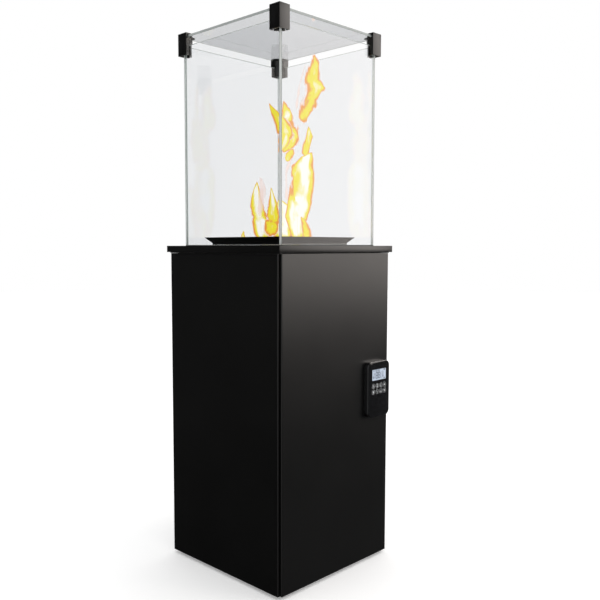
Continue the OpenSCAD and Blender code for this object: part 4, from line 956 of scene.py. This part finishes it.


# FLAMES
# Loose yellow tongues standing on the stones with the burner lit. They are light, not part of the heater.
# Each is a thin curved sheet that noise tears at its edges.
def flame_light(name, dimmest, brightest):
    """Burning gas: white-hot towards 1, then yellow, a thin orange rim, and a peach haze near 0."""
    finish, tree = new_finish(name)[:2]
    tree.nodes.clear()
    sheet = add(tree, "UVMap", uv_map="flame").outputs[0]
    place = add(tree, "TexCoord").outputs["Object"]
    part = add(tree, "SeparateXYZ", {"Vector": sheet})
    stretch = add(tree, "Mapping", {"Vector": place, "Scale": (1, 1, 0.4)})
    lick = add(tree, "TexNoise", {"Vector": stretch, "Scale": 42, "Detail": 3, "Distortion": 0.8})
    torn = add(tree, "MapRange", {"Value": lick, "From Min": 0.3, "From Max": 0.7, "To Min": dimmest,
                                  "To Max": brightest})
    strength = torn
    for axis, power in (("X", 2.0), ("Y", 9)):
        side = add(tree, "Math", {0: part.outputs[axis]}, operation="ABSOLUTE")
        fall = add(tree, "Math", {0: side, 1: power}, operation="POWER")
        strength = add(tree, "Math", {0: strength, 1: fall}, operation="SUBTRACT")
    haze = add(tree, "MapRange", {"Value": strength, "From Min": 0.0, "From Max": 0.1})
    solid = add(tree, "MapRange", {"Value": strength, "From Min": 0.13, "From Max": 0.19})
    yellow = add(tree, "MapRange", {"Value": strength, "From Min": 0.3, "From Max": 0.44})
    hot = add(tree, "MapRange", {"Value": strength, "From Min": 0.62, "From Max": 0.92})
    edge = add(tree, "Mix", {0: solid, 6: "#f3d9cf", 7: "#ea9a48"}, data_type="RGBA")
    flame = add(tree, "Mix", {0: yellow, 6: edge.outputs[2], 7: "#efe23c"}, data_type="RGBA")
    colour = add(tree, "Mix", {0: hot, 6: flame.outputs[2], 7: "#fcfbf2"}, data_type="RGBA")
    glow = add(tree, "Emission", {"Color": colour.outputs[2], "Strength": 1.08})
    air = add(tree, "BsdfTransparent")
    thick = add(tree, "Math", {0: solid, 1: 0.2, 2: 0.78}, operation="MULTIPLY_ADD")
    cover = add(tree, "Math", {0: haze, 1: thick}, operation="MULTIPLY")
    both = add(tree, "MixShader", {0: cover, 1: air, 2: glow})
    add(tree, "OutputMaterial", {"Surface": both})
    return finish


white_hot = flame_light("white_hot_gas", 0.72, 1.3)
burning = flame_light("burning_gas", 0.3, 0.94)
haze = flame_light("flame_haze", 0.03, 0.17)
# Each tongue from root to tip, in millimetres: height above the stones, then how far right its edges stand.
tongues = (
    (haze, [(28, -84, -22), (75, -77, -13), (120, -68, -13), (144, -66, -26), (164, -57, -52)]),
    (haze, [(75, -4, 35), (113, 2, 29), (160, 2, 28), (200, 7, 44), (235, 9, 48)]),
    (haze, [(296, 33, 44), (343, 29, 57), (378, 33, 62), (409, 44, 68), (452, 64, 70)]),
    (white_hot, [(-6, -68, -13), (20, -68, -22), (46, -70, -26), (77, -73, -37), (100, -70, -46),
                 (122, -64, -49), (140, -57, -53)]),
    (burning, [(-6, -48, 4), (33, -44, 9), (64, -35, 4), (86, -29, -2), (108, -24, -11), (126, -22, -18)]),
    (white_hot, [(-6, -26, 44), (42, -22, 42), (64, -13, 35), (82, -7, 22), (94, -2, 4)]),
    (white_hot, [(-6, 20, 70), (20, 16, 70), (55, 12, 75), (86, 18, 81), (144, 25, 88), (182, 28, 87),
                 (200, 45, 86), (214, 75, 84)]),
    (burning, [(-6, 57, 86), (14, 52, 85), (30, 48, 80), (52, 50, 55)]),
    (burning, [(-6, -100, -84), (5, -98, -86), (15, -92, -88)]),
    (burning, [(188, 15, 22), (200, 6, 37), (211, 10, 46), (224, 28, 36)]),
    (burning, [(197, 68, 73), (213, 52, 78), (234, 54, 81), (254, 62, 84), (280, 69, 73)]),
    (burning, [(206, -6, -2), (232, -4, 24), (256, -9, 42), (281, -16, 34), (308, -24, 8), (338, -28, -25)]),
    (burning, [(208, -2, 8), (230, -1, 54), (256, 0, 59), (281, -2, 50), (305, -2, 37), (326, 0, 26),
               (348, 5, 9)]),
    (burning, [(281, 58, 66), (300, 38, 76), (330, 42, 101), (356, 48, 110), (372, 54, 119), (392, 56, 103),
               (424, 64, 102), (464, 70, 100)]),
)
right = Vector((-toward_camera.y, toward_camera.x, 0))
# The second set of tongues stands square to the first, so that they show from the other sides too.
for count, (finish, stations) in enumerate(tongues + tongues):
    crossed = count >= len(tongues)
    bpy.ops.object.select_all(action="DESELECT")
    bpy.ops.mesh.primitive_grid_add(x_subdivisions=16, y_subdivisions=64, size=2)
    tongue = bpy.context.object
    tongue.name = "flame_tongue_" + str(count + 1)
    layer = tongue.data.uv_layers.new(name="flame")
    for corner in tongue.data.loops:
        at = tongue.data.vertices[corner.vertex_index].co
        layer.data[corner.index].uv = (at.x, at.y)
    for corner in tongue.data.vertices:
        across, climb = corner.co.x, (corner.co.y + 1) / 2 * (len(stations) - 1)
        step = min(int(climb), len(stations) - 2)
        here, above = stations[step], stations[step + 1]
        rise, left_edge, right_edge = [a + (b - a) * (climb - step) for a, b in zip(here, above)]
        middle, reach = (left_edge + right_edge) / 2, across * (right_edge - left_edge) / 2
        depth = 12 * (1 - across * across) + 9 * math.sin(rise / 55 + count * 2) - 8
        if crossed:
            corner.co = (right * middle - toward_camera * (reach + middle * 0.3)) * MM
        else:
            corner.co = (right * (middle + reach) + toward_camera * depth) * MM
        corner.co.z += stone_high.z + rise * MM
    tongue.data.materials.append(finish)
